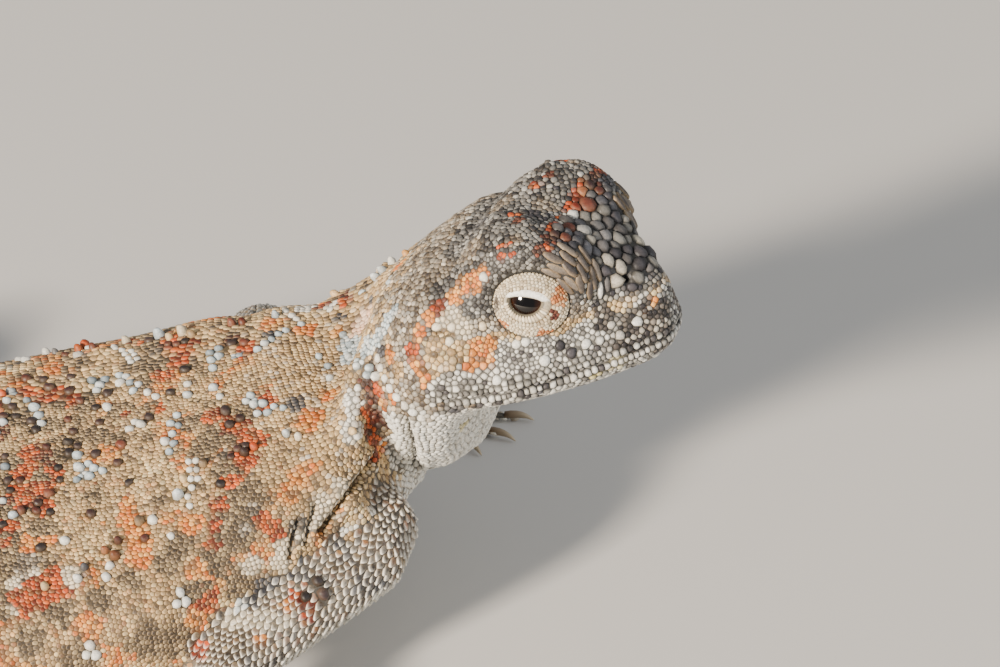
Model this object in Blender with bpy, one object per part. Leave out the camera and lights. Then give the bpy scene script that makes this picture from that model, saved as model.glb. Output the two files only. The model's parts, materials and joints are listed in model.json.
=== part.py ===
"""Sunwatcher toadhead agama (Phrynocephalus helioscopus), a still figure at life size.

The lizard rests on its belly, its fore body raised on the arms and its head
turned to its right. +X is forward, +Y the animal's left and +Z up, with the
origin in the middle of the belly's rest. Shapes are worked out in millimetres,
and the last step brings them to metres.
"""
import math
import random

import bmesh
import bpy
import numpy as np
from mathutils import Euler, Matrix, Vector
from mathutils.bvhtree import BVHTree

MM = 0.001
GAP = 0.3                      # kept between two pieces that meet
UP = Vector((0.0, 0.0, 1.0))
SEED = 11                      # of the small differences between like scales
COURSE_STEP = 0.3              # between the points of a tail's or limb's middle line
BEND_STEPS = 12                # points around one bend
FLOOR_BLOCK = (400.0, 400.0, 20.0)
SHARP_EDGE = 40.0              # degrees over which an edge is shaded sharp

# Colours of the pieces (red, green, blue)
SAND = (0.52, 0.42, 0.32)
PALE_SAND = (0.62, 0.53, 0.43)
GREY_SAND = (0.46, 0.40, 0.35)
EYE_BROWN = (0.05, 0.025, 0.015)

# Trunk: x, centre height, half width, half height, lean of the ring in degrees
TRUNK_TABLE = (
    (-18.0, 3.8, 6.8, 3.7, 6.0),
    (-10.0, 4.7, 10.9, 5.0, 5.0),
    (0.0, 5.1, 13.8, 5.4, 6.0),
    (9.0, 5.8, 14.3, 5.8, 9.0),
    (17.0, 7.3, 13.0, 5.9, 18.0),
    (22.5, 9.2, 10.5, 5.6, 31.0),
    (24.5, 10.1, 9.4, 5.4, 37.0),
)
TRUNK_ROUNDNESS = 2.25
TRUNK_RINGS = 27
TRUNK_SIDES = 28
# Swellings and hollows of the left side of trunk and neck: centre, spread, height
TRUNK_SWELLS = (
    ((20.5, 8.0, 12.0), 3.4, 0.6),      # shoulder
    ((18.0, 11.5, 6.5), 2.6, -0.5),     # hollow behind the arm
    ((-11.5, 8.0, 5.5), 4.0, 0.9),      # hip
    ((29.0, 5.5, 6.8), 2.6, 0.9),       # side of the chest
    ((31.0, 0.0, 7.5), 3.2, 1.3),       # chest below the throat
)

# Head, in its own frame: x forward from the nape, z up from the level of the jaw
HEAD_PLACE = Vector((31.0, -0.5, 15.0))
HEAD_TURN = -32.0              # degrees to the animal's right
HEAD_LIFT = 10.0               # degrees nose up
SNOUT_X = 14.5
NAPE_X = -1.15
# Distance back from the snout's tip: top, bottom, half width, height of the mouth,
# roundness above and below the mouth
HEAD_TABLE = (
    (0.00, 3.2, 1.4, 0.4, 1.90, 2.0, 2.2),
    (0.15, 4.2, 1.2, 0.9, 1.90, 2.0, 2.2),
    (0.50, 5.0, 0.8, 1.4, 1.85, 1.95, 2.2),
    (1.00, 5.5, 0.4, 2.0, 1.80, 1.9, 2.2),
    (1.60, 5.85, 0.1, 2.6, 1.75, 1.85, 2.2),
    (2.40, 6.55, -0.1, 3.3, 1.70, 1.85, 2.2),
    (3.50, 7.75, -0.35, 4.25, 1.65, 1.9, 2.2),
    (5.10, 8.65, -0.55, 5.5, 1.60, 2.1, 2.2),
    (7.00, 8.95, -0.8, 6.7, 1.50, 2.3, 2.1),
    (8.80, 8.85, -1.1, 7.3, 1.45, 2.35, 2.0),
    (10.60, 8.3, -1.8, 7.7, 1.40, 2.4, 1.9),
    (11.30, 7.95, -3.0, 7.75, 1.35, 2.35, 1.85),
    (12.00, 7.65, -4.6, 7.7, 1.30, 2.35, 1.85),
    (12.60, 7.35, -5.6, 7.6, 1.30, 2.3, 1.85),
    (13.50, 6.8, -6.4, 7.4, 1.20, 2.25, 1.85),
    (14.50, 6.15, -6.9, 7.0, 1.15, 2.2, 1.85),
    (15.65, 5.35, -7.3, 6.3, 1.05, 2.1, 1.85),
)
HEAD_RINGS = 23
MOUTH_EDGE = 2.7               # degrees from the mouth line to each lip's edge
# Degrees from the crown down one side, closest where the lips meet
SIDE_ANGLES = (11, 22, 33, 44, 55, 66, 77, 90 - MOUTH_EDGE, 90, 90 + MOUTH_EDGE,
               104, 120, 136, 158)
MOUTH_DEPTH = 0.45
MOUTH_CORNER = 4.0             # x where the mouth line ends, behind the eye
LIP_RISE = 0.16
# Swellings and hollows of the head's left side: centre, spread, height
HEAD_SWELLS = (
    ((8.3, 4.4, 8.0), 2.3, 1.8),        # brow over the eye
    ((6.3, 3.6, 8.6), 2.0, 0.4),        # back of the brow
    ((10.6, 3.8, 7.0), 1.9, 1.25),      # front of the brow
    ((9.6, 0.0, 8.6), 1.9, -0.4),       # valley between the brows
    ((12.7, 1.5, 5.9), 1.1, 0.35),      # nostril's swelling
    ((8.0, 6.2, 5.2), 2.2, -0.8),       # socket
    ((11.4, 4.2, 4.0), 1.4, -0.3),      # hollow before the eye
    ((8.4, 6.6, 2.8), 1.4, 0.3),        # ridge under the eye
    ((3.0, 7.4, 2.4), 2.6, 0.4),        # cheek
    ((3.2, 6.2, 6.0), 2.2, 0.45),       # temple
    ((1.0, 7.2, 0.4), 1.8, 0.4),        # corner of the jaw
    ((2.4, 0.0, -4.6), 2.2, 0.3),       # throat pouch
)

# Eye, in the head's frame, for the left side
EYE_PLACE = (7.95, 3.65, 5.45)
EYE_LOOK = (0.22, 0.93, 0.38)
EYE_RADIUS = 1.9
SOCKET_RADIUS = EYE_RADIUS + GAP
LID_RADIUS = SOCKET_RADIUS + 0.42
EYE_OPENING = (2.3, 1.25)      # length and height between the lids
EYE_OPENING_SHIFT = (0.0, 0.1)          # forward and up from the middle of the lids
SLIT_DEPTHS = ((1.2, 0.9), (4.2, 1.25))    # distance from the eye's middle, widening
SLIT_STEPS = 8                 # along each lid's edge
SLIT_POINT = 1.3               # how pointed the corners are
EYE_SIDES = 16
SOCKET_SIDES = 20
LID_SIDES = 24

# Nostril, in the head's frame, for the left side
NOSTRIL_PLACE = (12.9, 1.6, 5.9)
NOSTRIL_LOOK = (0.6, 0.5, 0.6)
NOSTRIL_RADII = (0.18, 0.43)   # inside and outside
NOSTRIL_DEPTH = 0.8
NOSTRIL_SIDES = 8

# Neck, from the trunk's front (0) to the nape (1)
NECK_RINGS = 10
NECK_PULL_TRUNK = 4.0
NECK_PULL_HEAD = 3.5
# Folds across the neck: place, width, height on the back, on the sides and below
NECK_FOLDS = (
    (0.50, 0.28, -2.9, -0.1, 0.0),
    (0.86, 0.08, -0.15, -0.75, -0.35),
    (0.62, 0.12, 0.1, 0.5, 0.3),
    (0.36, 0.10, 0.0, -0.3, -0.7),
    (0.18, 0.10, 0.0, 0.25, 0.35),
)

# Tail: distance from the vent, x, y, centre height, half width, half height
TAIL_TABLE = (
    (0.0, -18.0, 0.0, 3.8, 6.6, 3.65),
    (5.0, -23.0, 0.2, 3.35, 5.3, 3.2),
    (11.0, -29.0, 0.8, 2.6, 4.1, 2.65),
    (18.0, -35.9, 2.0, 2.05, 3.1, 2.15),
    (30.0, -47.6, 4.7, 1.65, 2.35, 1.75),
    (45.0, -62.2, 8.2, 1.2, 1.6, 1.28),
    (60.0, -77.0, 10.6, 0.85, 1.0, 0.9),
    (70.0, -87.0, 11.2, 0.5, 0.5, 0.5),
)
TAIL_PARTS = (
    ("tail_base", 0.0, 16.0, 9, 18),
    ("tail_middle", 16.0, 40.0, 9, 14),
    ("tail_end", 40.0, 69.5, 11, 10),
)

# Arms and legs: corners of the bone line from inside the body, over the elbow or
# knee and the wrist or ankle, to the palm or sole, and the radius of each bend
LIMB_BEND = 2.7
RIGHT_ARM = ((25.0, -3.6, 8.3), (27.5, -7.4, 8.1), (15.5, -14.2, 4.6), (21.2, -19.6, 1.2),
             (24.3, -22.7, 0.85))
LEFT_ARM = ((25.2, 4.6, 7.9), (23.4, 16.4, 7.3), (30.8, 16.0, 1.2), (34.6, 15.2, 0.85))
RIGHT_LEG = ((-12.0, -4.0, 5.2), (1.6, -18.6, 7.2), (-14.2, -20.2, 1.3), (-8.2, -24.2, 0.85))
LEFT_LEG = ((-12.0, 4.0, 5.2), (0.2, 20.4, 6.6), (-15.8, 19.4, 1.3), (-10.6, 24.2, 0.85))
# Half width and half height at the root, middle, joint, middle, joint and end
ARM_SIZES = ((2.7, 2.7), (2.3, 2.3), (1.95, 1.9), (1.8, 1.7), (1.15, 1.1), (1.75, 0.85))
LEG_SIZES = ((3.6, 3.3), (3.1, 3.0), (2.35, 2.3), (2.1, 2.0), (1.3, 1.2), (1.9, 0.9))
LIMB_SIDES = 12
LIMB_RINGS = (11, 9, 6)        # of the upper and lower part and of the palm or sole
PALM_TIP = 0.9                 # how far the palm's or sole's end bulges out
WRIST_BACK = 0.4               # the cut at a wrist or ankle is this far before its corner
LIMB_ROUNDNESS = 2.1
JOINT_AHEAD = 1.6              # the cut at an elbow or knee is this far past its corner

# Toes from the inner one outward: length, bearing from the foot's, place across the foot
HAND_TOES = ((2.4, 52.0, 1.25), (3.5, 24.0, 0.75), (4.3, 4.0, 0.05), (4.2, -16.0, -0.7),
             (2.9, -46.0, -1.25))
FOOT_TOES = ((2.8, 38.0, 1.35), (4.3, 18.0, 0.8), (6.0, 5.0, 0.1), (7.6, -7.0, -0.65),
             (3.8, -40.0, -1.3))
TOE_THICK = 0.52
TOE_SIDES = 6
# Share of the toe's length, height of its middle, share of its thickness
TOE_TABLE = (
    (0.0, 0.70, 1.0),
    (0.28, 0.80, 1.0),
    (0.58, 0.56, 0.92),
    (0.86, 0.34, 0.75),
    (1.0, 0.32, 0.5),
)
TOE_LAP = 0.6                  # length of a toe that lies inside the palm or sole
TOE_TIP = (0.15, 0.3)          # how far the tip stands past the toe, and its height
CLAW_START = 0.86              # share of the toe at which its claw begins
CLAW_LONG = 1.25
CLAW_THICK = 0.27
CLAW_SIDES = 5
# Share of the claw's length, height of its middle, thickness; and its tip
CLAW_TABLE = ((0.0, 0.42, 1.0), (0.5, 0.48, 0.95), (0.95, 0.36, 0.6))
CLAW_TIP = (0.45, 0.1)

# Clusters of large tubercles on the back: x, degrees from its ridge to the right, and
# the number of small tubercles around the large one
ROSETTES = (
    (21.0, 25, 4), (15.9, 24, 4), (16.3, 49, 3), (11.0, 10, 4), (10.1, 44, 3), (10.8, 71, 3),
    (14.3, 81, 3), (17.5, -29, 4), (13.3, -37, 3), (8.7, -40, 3), (15.2, -58, 2),
    (5.6, 22, 3), (5.0, 62, 2), (3.6, -62, 2), (0.6, 28, 3), (-1.2, -24, 3), (-4.2, 24, 2),
    (-6.0, -26, 2), (-9.0, 22, 2), (-10.6, -20, 2), (-14.0, 16, 1),
)
TUBERCLE = (0.68, 0.6)         # radius and height of a cluster's large one
SMALL_TUBERCLE = (0.48, 0.4)
TUBERCLE_SPREAD = 0.95         # from a cluster's middle to the small ones
TUBERCLE_LEAN = 0.35           # backward lean of the tips
STUD_ROOT = 0.45               # depth of the root of every tubercle and raised scale
STUD_ROOT_SHARE = 0.8          # width of the root's end against that at the skin
# Spines of the neck: ring, and degrees from the crown on each side
NECK_SPINES = ((4, 22), (4, 44), (4, 66), (6, 33), (6, 55), (6, 77))
NECK_SPINE = (0.5, 0.6)
# Large plates of the forehead, brows and snout, in rows from the snout back
PLATE_ROWS = 7
FIRST_PLATE_X = 13.0
PLATE_STEP = (1.2, 1.35)       # from row to row, and within a row
PLATE_REACH = 3.6              # to each side
PLATE_TAPER = 3.2              # length over which the rows widen from the snout's tip
PLATE = (0.64, 0.18)
PLATE_TOP = 0.6                # width of the flat top against the base
# Raised scales of lip and cheek: x of the first and last, number, height above the mouth
CHEEK_ROWS = ((12.2, 5.6, 5, 0.85), (11.3, 4.6, 4, 1.85))
CHEEK_SCALE = (0.55, 0.17)


def clear_scene():
    """Remove what the scene holds at the start."""
    for thing in list(bpy.data.objects):
        bpy.data.objects.remove(thing, do_unlink=True)


def new_collection(name):
    """A collection linked into the scene."""
    collection = bpy.data.collections.new(name)
    bpy.context.scene.collection.children.link(collection)
    return collection


def new_material(name, colour, roughness):
    """A plain Principled material."""
    material = bpy.data.materials.new(name)
    material.use_nodes = True
    shader = material.node_tree.nodes["Principled BSDF"]
    shader.inputs["Base Color"].default_value = (*colour, 1.0)
    shader.inputs["Roughness"].default_value = roughness
    shader.inputs["Metallic"].default_value = 0.0
    return material


def read_table(table, key):
    """Values of a table at one key, on a smooth curve through its rows."""
    rows = np.array(table, dtype=float)
    keys, values = rows[:, 0], rows[:, 1:]
    steps = np.diff(keys)[:, None]
    slopes = np.diff(values, axis=0) / steps
    inner = (slopes[:-1] * steps[1:] + slopes[1:] * steps[:-1]) / (steps[:-1] + steps[1:])
    tangents = np.vstack((slopes[:1], inner, slopes[-1:]))
    key = min(max(key, keys[0]), keys[-1])
    low = min(int(np.searchsorted(keys, key, side="right")) - 1, len(keys) - 2)
    step = keys[low + 1] - keys[low]
    t = (key - keys[low]) / step
    return ((2 * t ** 3 - 3 * t ** 2 + 1) * values[low]
            + (t ** 3 - 2 * t ** 2 + t) * step * tangents[low]
            + (3 * t ** 2 - 2 * t ** 3) * values[low + 1]
            + (t ** 3 - t ** 2) * step * tangents[low + 1])


def oval(angle, roundness):
    """Sideways and upward share of a squarish oval, at degrees from its top."""
    side = math.sin(math.radians(angle))
    height = math.cos(math.radians(angle))
    return (math.copysign(abs(side) ** (2 / roundness), side),
            math.copysign(abs(height) ** (2 / roundness), height))


def ring_normals(rings):
    """Outward normals of a grid of rings whose angles run from the top to the left."""
    around = np.roll(rings, -1, axis=1) - np.roll(rings, 1, axis=1)
    along = np.gradient(rings, axis=0)
    normals = np.cross(along, around)
    normals /= np.linalg.norm(normals, axis=2, keepdims=True)
    outward = rings - rings.mean(axis=1, keepdims=True)
    if (normals * outward).sum() < 0:
        normals = -normals
    return normals


def swell(rings, swells):
    """Raise the rings by each swelling, and by its mirror image on the right."""
    height = np.zeros(rings.shape[:2])
    for centre, spread, rise in swells:
        for side in ((1, -1) if centre[1] else (1,)):
            middle = np.array((centre[0], side * centre[1], centre[2]))
            away = ((rings - middle) ** 2).sum(axis=2)
            height += rise * np.exp(-away / spread ** 2)
    return rings + ring_normals(rings) * height[:, :, None]


def onto_plane(points, centre, normal):
    """Points moved along a normal onto its plane."""
    away = (points - centre) @ normal
    return points - away[:, None] * normal


def solid_from(name, shape, collection, material):
    """An object from a bmesh, its faces turned outward."""
    bmesh.ops.recalc_face_normals(shape, faces=shape.faces)
    mesh = bpy.data.meshes.new(name)
    shape.to_mesh(mesh)
    shape.free()
    mesh.materials.append(material)
    thing = bpy.data.objects.new(name, mesh)
    collection.objects.link(thing)
    return thing


def loft(name, rings, collection, material, start_tip=None, end_tip=None):
    """Close a row of rings into one solid, each end flat or drawn to a tip."""
    shape = bmesh.new()
    rows = [[shape.verts.new(point) for point in ring] for ring in rings]
    for back, front in zip(rows, rows[1:]):
        for i in range(len(back)):
            j = (i + 1) % len(back)
            shape.faces.new((back[i], back[j], front[j], front[i]))
    for row, tip in ((rows[0], start_tip), (rows[-1], end_tip)):
        if tip is None:
            shape.faces.new(row)
            continue
        point = shape.verts.new(tip)
        for i in range(len(row)):
            shape.faces.new((row[i], row[(i + 1) % len(row)], point))
    return solid_from(name, shape, collection, material)


def ball(name, centre, radius, segments, collection, material):
    """A round ball."""
    shape = bmesh.new()
    bmesh.ops.create_uvsphere(shape, u_segments=segments, v_segments=segments * 2 // 3,
                              radius=radius, matrix=Matrix.Translation(centre))
    return solid_from(name, shape, collection, material)


def bake(thing):
    """Apply an object's modifiers."""
    graph = bpy.context.evaluated_depsgraph_get()
    old = thing.data
    thing.data = bpy.data.meshes.new_from_object(thing.evaluated_get(graph))
    thing.modifiers.clear()
    bpy.data.meshes.remove(old)


def join_or_cut(thing, tools, operation):
    """One Boolean of an object with a collection of solids, which is then removed."""
    step = thing.modifiers.new(operation, "BOOLEAN")
    step.operation = operation
    step.solver = "EXACT"
    step.operand_type = "COLLECTION"
    step.collection = tools
    bake(thing)
    for tool in list(tools.objects):
        bpy.data.objects.remove(tool, do_unlink=True)
    keep_largest(thing)


def keep_largest(thing):
    """Drop loose scraps and sealed hollows, and keep the largest closed surface."""
    shape = bmesh.new()
    shape.from_mesh(thing.data)
    left = set(shape.verts)
    shells = []
    while left:
        shell, border = set(), [left.pop()]
        while border:
            point = border.pop()
            shell.add(point)
            for edge in point.link_edges:
                other = edge.other_vert(point)
                if other in left:
                    left.discard(other)
                    border.append(other)
        shells.append(shell)
    shells.sort(key=len)
    for shell in shells[:-1]:
        bmesh.ops.delete(shape, geom=list(shell), context="VERTS")
    shape.to_mesh(thing.data)
    shape.free()


def tool_set():
    """An empty collection for solids that join or cut."""
    collection = bpy.data.collections.get("tools") or new_collection("tools")
    collection.hide_render = True
    return collection


def mark_tool(tool):
    """Show a joining or cutting solid as a wire outline only."""
    tool.hide_render = True
    tool.display_type = "WIRE"


def grown_copy(thing, distance, tools):
    """A copy of a solid, larger all round by a distance."""
    copy = bpy.data.objects.new(thing.name + "_grown", thing.data.copy())
    copy.matrix_world = thing.matrix_world
    tools.objects.link(copy)
    for vertex, normal in zip(copy.data.vertices, [v.normal.copy() for v in thing.data.vertices]):
        vertex.co += normal * distance
    mark_tool(copy)
    return copy


def surface_of(thing):
    """A search tree of an object's own surface."""
    mesh = thing.data
    return BVHTree.FromPolygons([v.co.copy() for v in mesh.vertices],
                                [tuple(face.vertices) for face in mesh.polygons])


def add_stud(place, normal, size, sides, material, top=None):
    """One pointed tubercle or, with a top, one flat-topped scale, its root sunk in."""
    radius, height = size
    turn = normal.to_track_quat("Z", "Y").to_matrix()
    levels = [(-STUD_ROOT, radius * STUD_ROOT_SHARE), (0.0, radius)]
    if top:
        levels.append((height, radius * top))
    rings = []
    for level, wide in levels:
        angles = [2 * math.pi * k / sides for k in range(sides)]
        rings.append([place + turn @ Vector((wide * math.cos(angle), wide * math.sin(angle),
                                             level)) for angle in angles])
    tip = None if top else place + normal * height
    mark_tool(loft("stud", rings, tool_set(), material, end_tip=tip))


def add_back_tubercles(torso, material):
    """Clusters of tubercles on the back and flanks, a large one amid smaller ones."""
    tree = surface_of(torso)
    draw = random.Random(SEED)
    for x, degrees, number in ROSETTES:
        centre, _, _, lift, ahead = trunk_frame(x)
        angle = math.radians(degrees)
        outward = Vector(lift) * math.cos(angle) - Vector((0.0, math.sin(angle), 0.0))
        middle, normal, _, _ = tree.ray_cast(Vector(centre) + outward * 30, -outward)
        lean = Vector(ahead) * TUBERCLE_LEAN
        share = draw.uniform(0.85, 1.1)
        add_stud(middle, (normal - lean).normalized(), Vector(TUBERCLE) * share, 6, material)
        start = draw.uniform(0, 2 * math.pi)
        aside = normal.cross(Vector(ahead)).normalized()
        along = aside.cross(normal)
        for k in range(number):
            turn = start + 2 * math.pi * k / number
            aim = middle + (along * math.cos(turn) + aside * math.sin(turn)) * TUBERCLE_SPREAD
            place, outward, _, _ = tree.find_nearest(aim)
            share = draw.uniform(0.85, 1.15)
            add_stud(place, (outward - lean).normalized(), Vector(SMALL_TUBERCLE) * share, 5,
                     material)
    join_or_cut(torso, tool_set(), "UNION")


def add_head_scales(head, material):
    """Plates of forehead, brows and snout, and raised scales of lip and cheek."""
    tree = surface_of(head)
    draw = random.Random(SEED + 1)
    down = Vector((0.0, 0.0, -1.0))
    for i in range(PLATE_ROWS):
        x = FIRST_PLATE_X - PLATE_STEP[0] * i
        reach = PLATE_REACH * min(1.0, (SNOUT_X - x) / PLATE_TAPER)
        steps = int(reach / PLATE_STEP[1])
        for k in range(-steps, steps + 1):
            y = (k + 0.5 * (i % 2)) * PLATE_STEP[1]
            if abs(y) <= reach:
                place, normal, _, _ = tree.ray_cast(Vector((x, y, 20.0)), down)
                share = draw.uniform(0.9, 1.05)
                add_stud(place, normal, Vector(PLATE) * share, 6, material, PLATE_TOP)
    for first, last, number, above in CHEEK_ROWS:
        for i in range(number):
            x = first + (last - first) * i / (number - 1)
            mouth = read_table(HEAD_TABLE, SNOUT_X - x)[3]
            for side in (1, -1):
                inward = Vector((0.0, -side, 0.0))
                place, normal, _, _ = tree.ray_cast(Vector((x, side * 20.0, mouth + above)),
                                                    inward)
                share = draw.uniform(0.9, 1.05)
                add_stud(place, normal, Vector(CHEEK_SCALE) * share, 6, material, PLATE_TOP)
    join_or_cut(head, tool_set(), "UNION")


def trim_to_floor(thing, material):
    """Cut away what lies below the floor, which leaves small flats to rest on."""
    tools = tool_set()
    shape = bmesh.new()
    bmesh.ops.create_cube(shape, size=1.0)
    bmesh.ops.scale(shape, vec=FLOOR_BLOCK, verts=shape.verts)
    bmesh.ops.translate(shape, vec=(0.0, 0.0, -FLOOR_BLOCK[2] / 2), verts=shape.verts)
    mark_tool(solid_from("floor", shape, tools, material))
    join_or_cut(thing, tools, "DIFFERENCE")


class Course:
    """A line through space, read by the distance from its start."""

    def __init__(self, points):
        self.points = np.array([tuple(point) for point in points])
        steps = np.linalg.norm(np.diff(self.points, axis=0), axis=1)
        self.marks = np.concatenate(([0.0], np.cumsum(steps)))
        self.length = float(self.marks[-1])

    def at(self, distance):
        """The point at a distance from the start."""
        return Vector([np.interp(distance, self.marks, self.points[:, i]) for i in range(3)])

    def heading(self, distance):
        """Direction of the line at a distance."""
        near = min(max(distance, COURSE_STEP), self.length - COURSE_STEP)
        return (self.at(near + COURSE_STEP) - self.at(near - COURSE_STEP)).normalized()

    def nearest(self, place):
        """Distance of the point of the line that lies nearest to a place."""
        away = np.linalg.norm(self.points - np.array(place), axis=1)
        return float(self.marks[int(away.argmin())])


def bent_course(corners, bend):
    """Straight runs joined by round bends."""
    corners = [Vector(corner) for corner in corners]
    points = [corners[0]]
    for before, corner, after in zip(corners, corners[1:], corners[2:]):
        back = (before - corner).normalized()
        ahead = (after - corner).normalized()
        half = back.angle(ahead) / 2
        centre = corner + (back + ahead).normalized() * bend / math.sin(half)
        spoke = corner + back * bend / math.tan(half) - centre
        axis = spoke.cross(corner + ahead * bend / math.tan(half) - centre).normalized()
        for step in range(BEND_STEPS + 1):
            turn = Matrix.Rotation((math.pi - 2 * half) * step / BEND_STEPS, 3, axis)
            points.append(centre + turn @ spoke)
    points.append(corners[-1])
    dense = []
    for start, end in zip(points, points[1:]):
        count = max(1, int((end - start).length / COURSE_STEP))
        dense += [start.lerp(end, i / count) for i in range(count)]
    return Course(dense + [points[-1]])


def tube_rings(course, start, end, count, size_at, sides, roundness, gaps=(True, True)):
    """Rings across a course, each end standing back half a gap from its joint."""
    rings = []
    for i in range(count):
        distance = start + (end - start) * i / (count - 1)
        heading = course.heading(distance)
        centre = course.at(distance)
        if i == 0 and gaps[0]:
            centre = centre + heading * GAP / 2
        if i == count - 1 and gaps[1]:
            centre = centre - heading * GAP / 2
        across = UP.cross(heading).normalized()
        lift = heading.cross(across)
        wide, high = size_at(distance)
        ring = []
        for k in range(sides):
            side, height = oval(360 * (k + 0.5) / sides, roundness)
            ring.append(centre + across * wide * side + lift * high * height)
        rings.append(ring)
    return rings


def trunk_frame(x):
    """Centre, half width, half height and upward lean of the trunk's ring at x."""
    height, wide, high, lean = read_table(TRUNK_TABLE, x)
    tilt = math.radians(lean)
    centre = np.array((x, 0.0, height))
    lift = np.array((-math.sin(tilt), 0.0, math.cos(tilt)))
    ahead = np.array((math.cos(tilt), 0.0, math.sin(tilt)))
    return centre, wide, high, lift, ahead


def trunk_ring(x, angles):
    """Points around the trunk at x."""
    centre, wide, high, lift, _ = trunk_frame(x)
    ring = []
    for angle in angles:
        side, height = oval(angle, TRUNK_ROUNDNESS)
        ring.append(centre + np.array((0.0, wide * side, 0.0)) + lift * high * height)
    return np.array(ring)


def make_trunk(collection, material):
    """The torso from the vent to the shoulders."""
    back, front = TRUNK_TABLE[0][0], TRUNK_TABLE[-1][0]
    angles = [360 * (k + 0.5) / TRUNK_SIDES for k in range(TRUNK_SIDES)]
    places = [back + (front - back) * i / (TRUNK_RINGS - 1) for i in range(TRUNK_RINGS)]
    rings = swell(np.array([trunk_ring(x, angles) for x in places]), TRUNK_SWELLS)
    for i in (0, -1):
        centre, _, _, _, ahead = trunk_frame(places[i])
        rings[i] = onto_plane(rings[i], centre, ahead)
    return loft("torso", rings, collection, material)


def side_angles():
    """Degrees around the head and neck, from the crown down the left side and back."""
    return [0, *SIDE_ANGLES, 180] + [360 - angle for angle in reversed(SIDE_ANGLES)]


def head_matrix():
    """Place and turn of the head's frame."""
    turn = Euler((0.0, math.radians(-HEAD_LIFT), math.radians(HEAD_TURN)), "XYZ")
    return Matrix.Translation(HEAD_PLACE) @ turn.to_matrix().to_4x4()


def head_rings():
    """Rings of the head from the nape to the snout, with its swellings and mouth line."""
    angles = side_angles()
    rings = []
    for i in range(HEAD_RINGS):
        x = NAPE_X + (SNOUT_X - 0.15 - NAPE_X) * (1 - (1 - i / HEAD_RINGS) ** 1.5)
        top, bottom, wide, mouth, above, below = read_table(HEAD_TABLE, SNOUT_X - x)
        ring = []
        for angle in angles:
            side, height = oval(angle, below if 90 < angle < 270 else above)
            reach = top - mouth if height > 0 else mouth - bottom
            ring.append((x, wide * side, mouth + reach * height))
        rings.append(ring)
    rings = swell(np.array(rings), HEAD_SWELLS)
    normals = ring_normals(rings)
    for k, angle in enumerate(angles):
        aside = min(abs(angle - 90), abs(angle - 270))
        for i in range(HEAD_RINGS):
            open_share = min(max((rings[i, k, 0] - MOUTH_CORNER) / 2.0, 0.0), 1.0)
            if aside == 0:
                rings[i, k] -= normals[i, k] * MOUTH_DEPTH * open_share
            elif aside < 15:
                rings[i, k] += normals[i, k] * LIP_RISE * open_share
    rings[0, :, 0] = NAPE_X
    return rings


def almond(place, look, size, name, tools, material):
    """A tool for a slit with pointed corners, cut along the look of the eye."""
    look = Vector(look).normalized()
    long_way = Vector((1.0, 0.0, 0.0))
    long_way = (long_way - look * long_way.dot(look)).normalized()
    tall_way = look.cross(long_way)
    outline = []
    for i in range(2 * SLIT_STEPS):
        share = (i % SLIT_STEPS) / SLIT_STEPS
        along = math.cos(math.pi * share)
        above = math.sin(math.pi * share) ** SLIT_POINT
        sign = 1 if i < SLIT_STEPS else -1
        outline.append((sign * along * size[0] / 2, sign * above * size[1] / 2))
    rings = []
    for distance, widen in SLIT_DEPTHS:
        middle = Vector(place) + look * distance
        rings.append([middle + long_way * a * widen + tall_way * b * widen for a, b in outline])
    mark_tool(loft(name, rings, tools, material))


def make_head(collection, skin):
    """The head with lids, sockets, nostrils and the line of the mouth."""
    rings = head_rings()
    tip = (SNOUT_X, 0.0, HEAD_TABLE[0][4])
    head = loft("head", rings, collection, skin, end_tip=tip)
    for side, name in ((1, "left"), (-1, "right")):
        place = (EYE_PLACE[0], side * EYE_PLACE[1], EYE_PLACE[2])
        mark_tool(ball("lid_" + name, place, LID_RADIUS, LID_SIDES, tool_set(), skin))
    join_or_cut(head, tool_set(), "UNION")
    add_head_scales(head, skin)
    for side, name in ((1, "left"), (-1, "right")):
        place = (EYE_PLACE[0], side * EYE_PLACE[1], EYE_PLACE[2])
        look = (EYE_LOOK[0], side * EYE_LOOK[1], EYE_LOOK[2])
        mark_tool(ball("socket_" + name, place, SOCKET_RADIUS, SOCKET_SIDES, tool_set(), skin))
        place = (EYE_PLACE[0] + EYE_OPENING_SHIFT[0], place[1], EYE_PLACE[2] + EYE_OPENING_SHIFT[1])
        almond(place, look, EYE_OPENING, "slit_" + name, tool_set(), skin)
        shape = bmesh.new()
        bmesh.ops.create_cone(shape, cap_ends=True, segments=NOSTRIL_SIDES,
                              radius1=NOSTRIL_RADII[0], radius2=NOSTRIL_RADII[1],
                              depth=2 * NOSTRIL_DEPTH)
        look = Vector((NOSTRIL_LOOK[0], side * NOSTRIL_LOOK[1], NOSTRIL_LOOK[2]))
        place = (NOSTRIL_PLACE[0], side * NOSTRIL_PLACE[1], NOSTRIL_PLACE[2])
        turn = look.to_track_quat("Z", "Y").to_matrix().to_4x4()
        bmesh.ops.transform(shape, matrix=Matrix.Translation(place) @ turn, verts=shape.verts)
        mark_tool(solid_from("nostril_" + name, shape, tool_set(), skin))
    join_or_cut(head, tool_set(), "DIFFERENCE")
    head.matrix_world = head_matrix()
    return head, rings[0]


def make_eyes(collection, material):
    """Both eyeballs, in the head's sockets."""
    for side, name in ((1, "left"), (-1, "right")):
        eye = ball("eye_" + name, (0.0, 0.0, 0.0), EYE_RADIUS, EYE_SIDES, collection, material)
        place = Vector((EYE_PLACE[0], side * EYE_PLACE[1], EYE_PLACE[2]))
        eye.matrix_world = head_matrix() @ Matrix.Translation(place)


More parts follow.
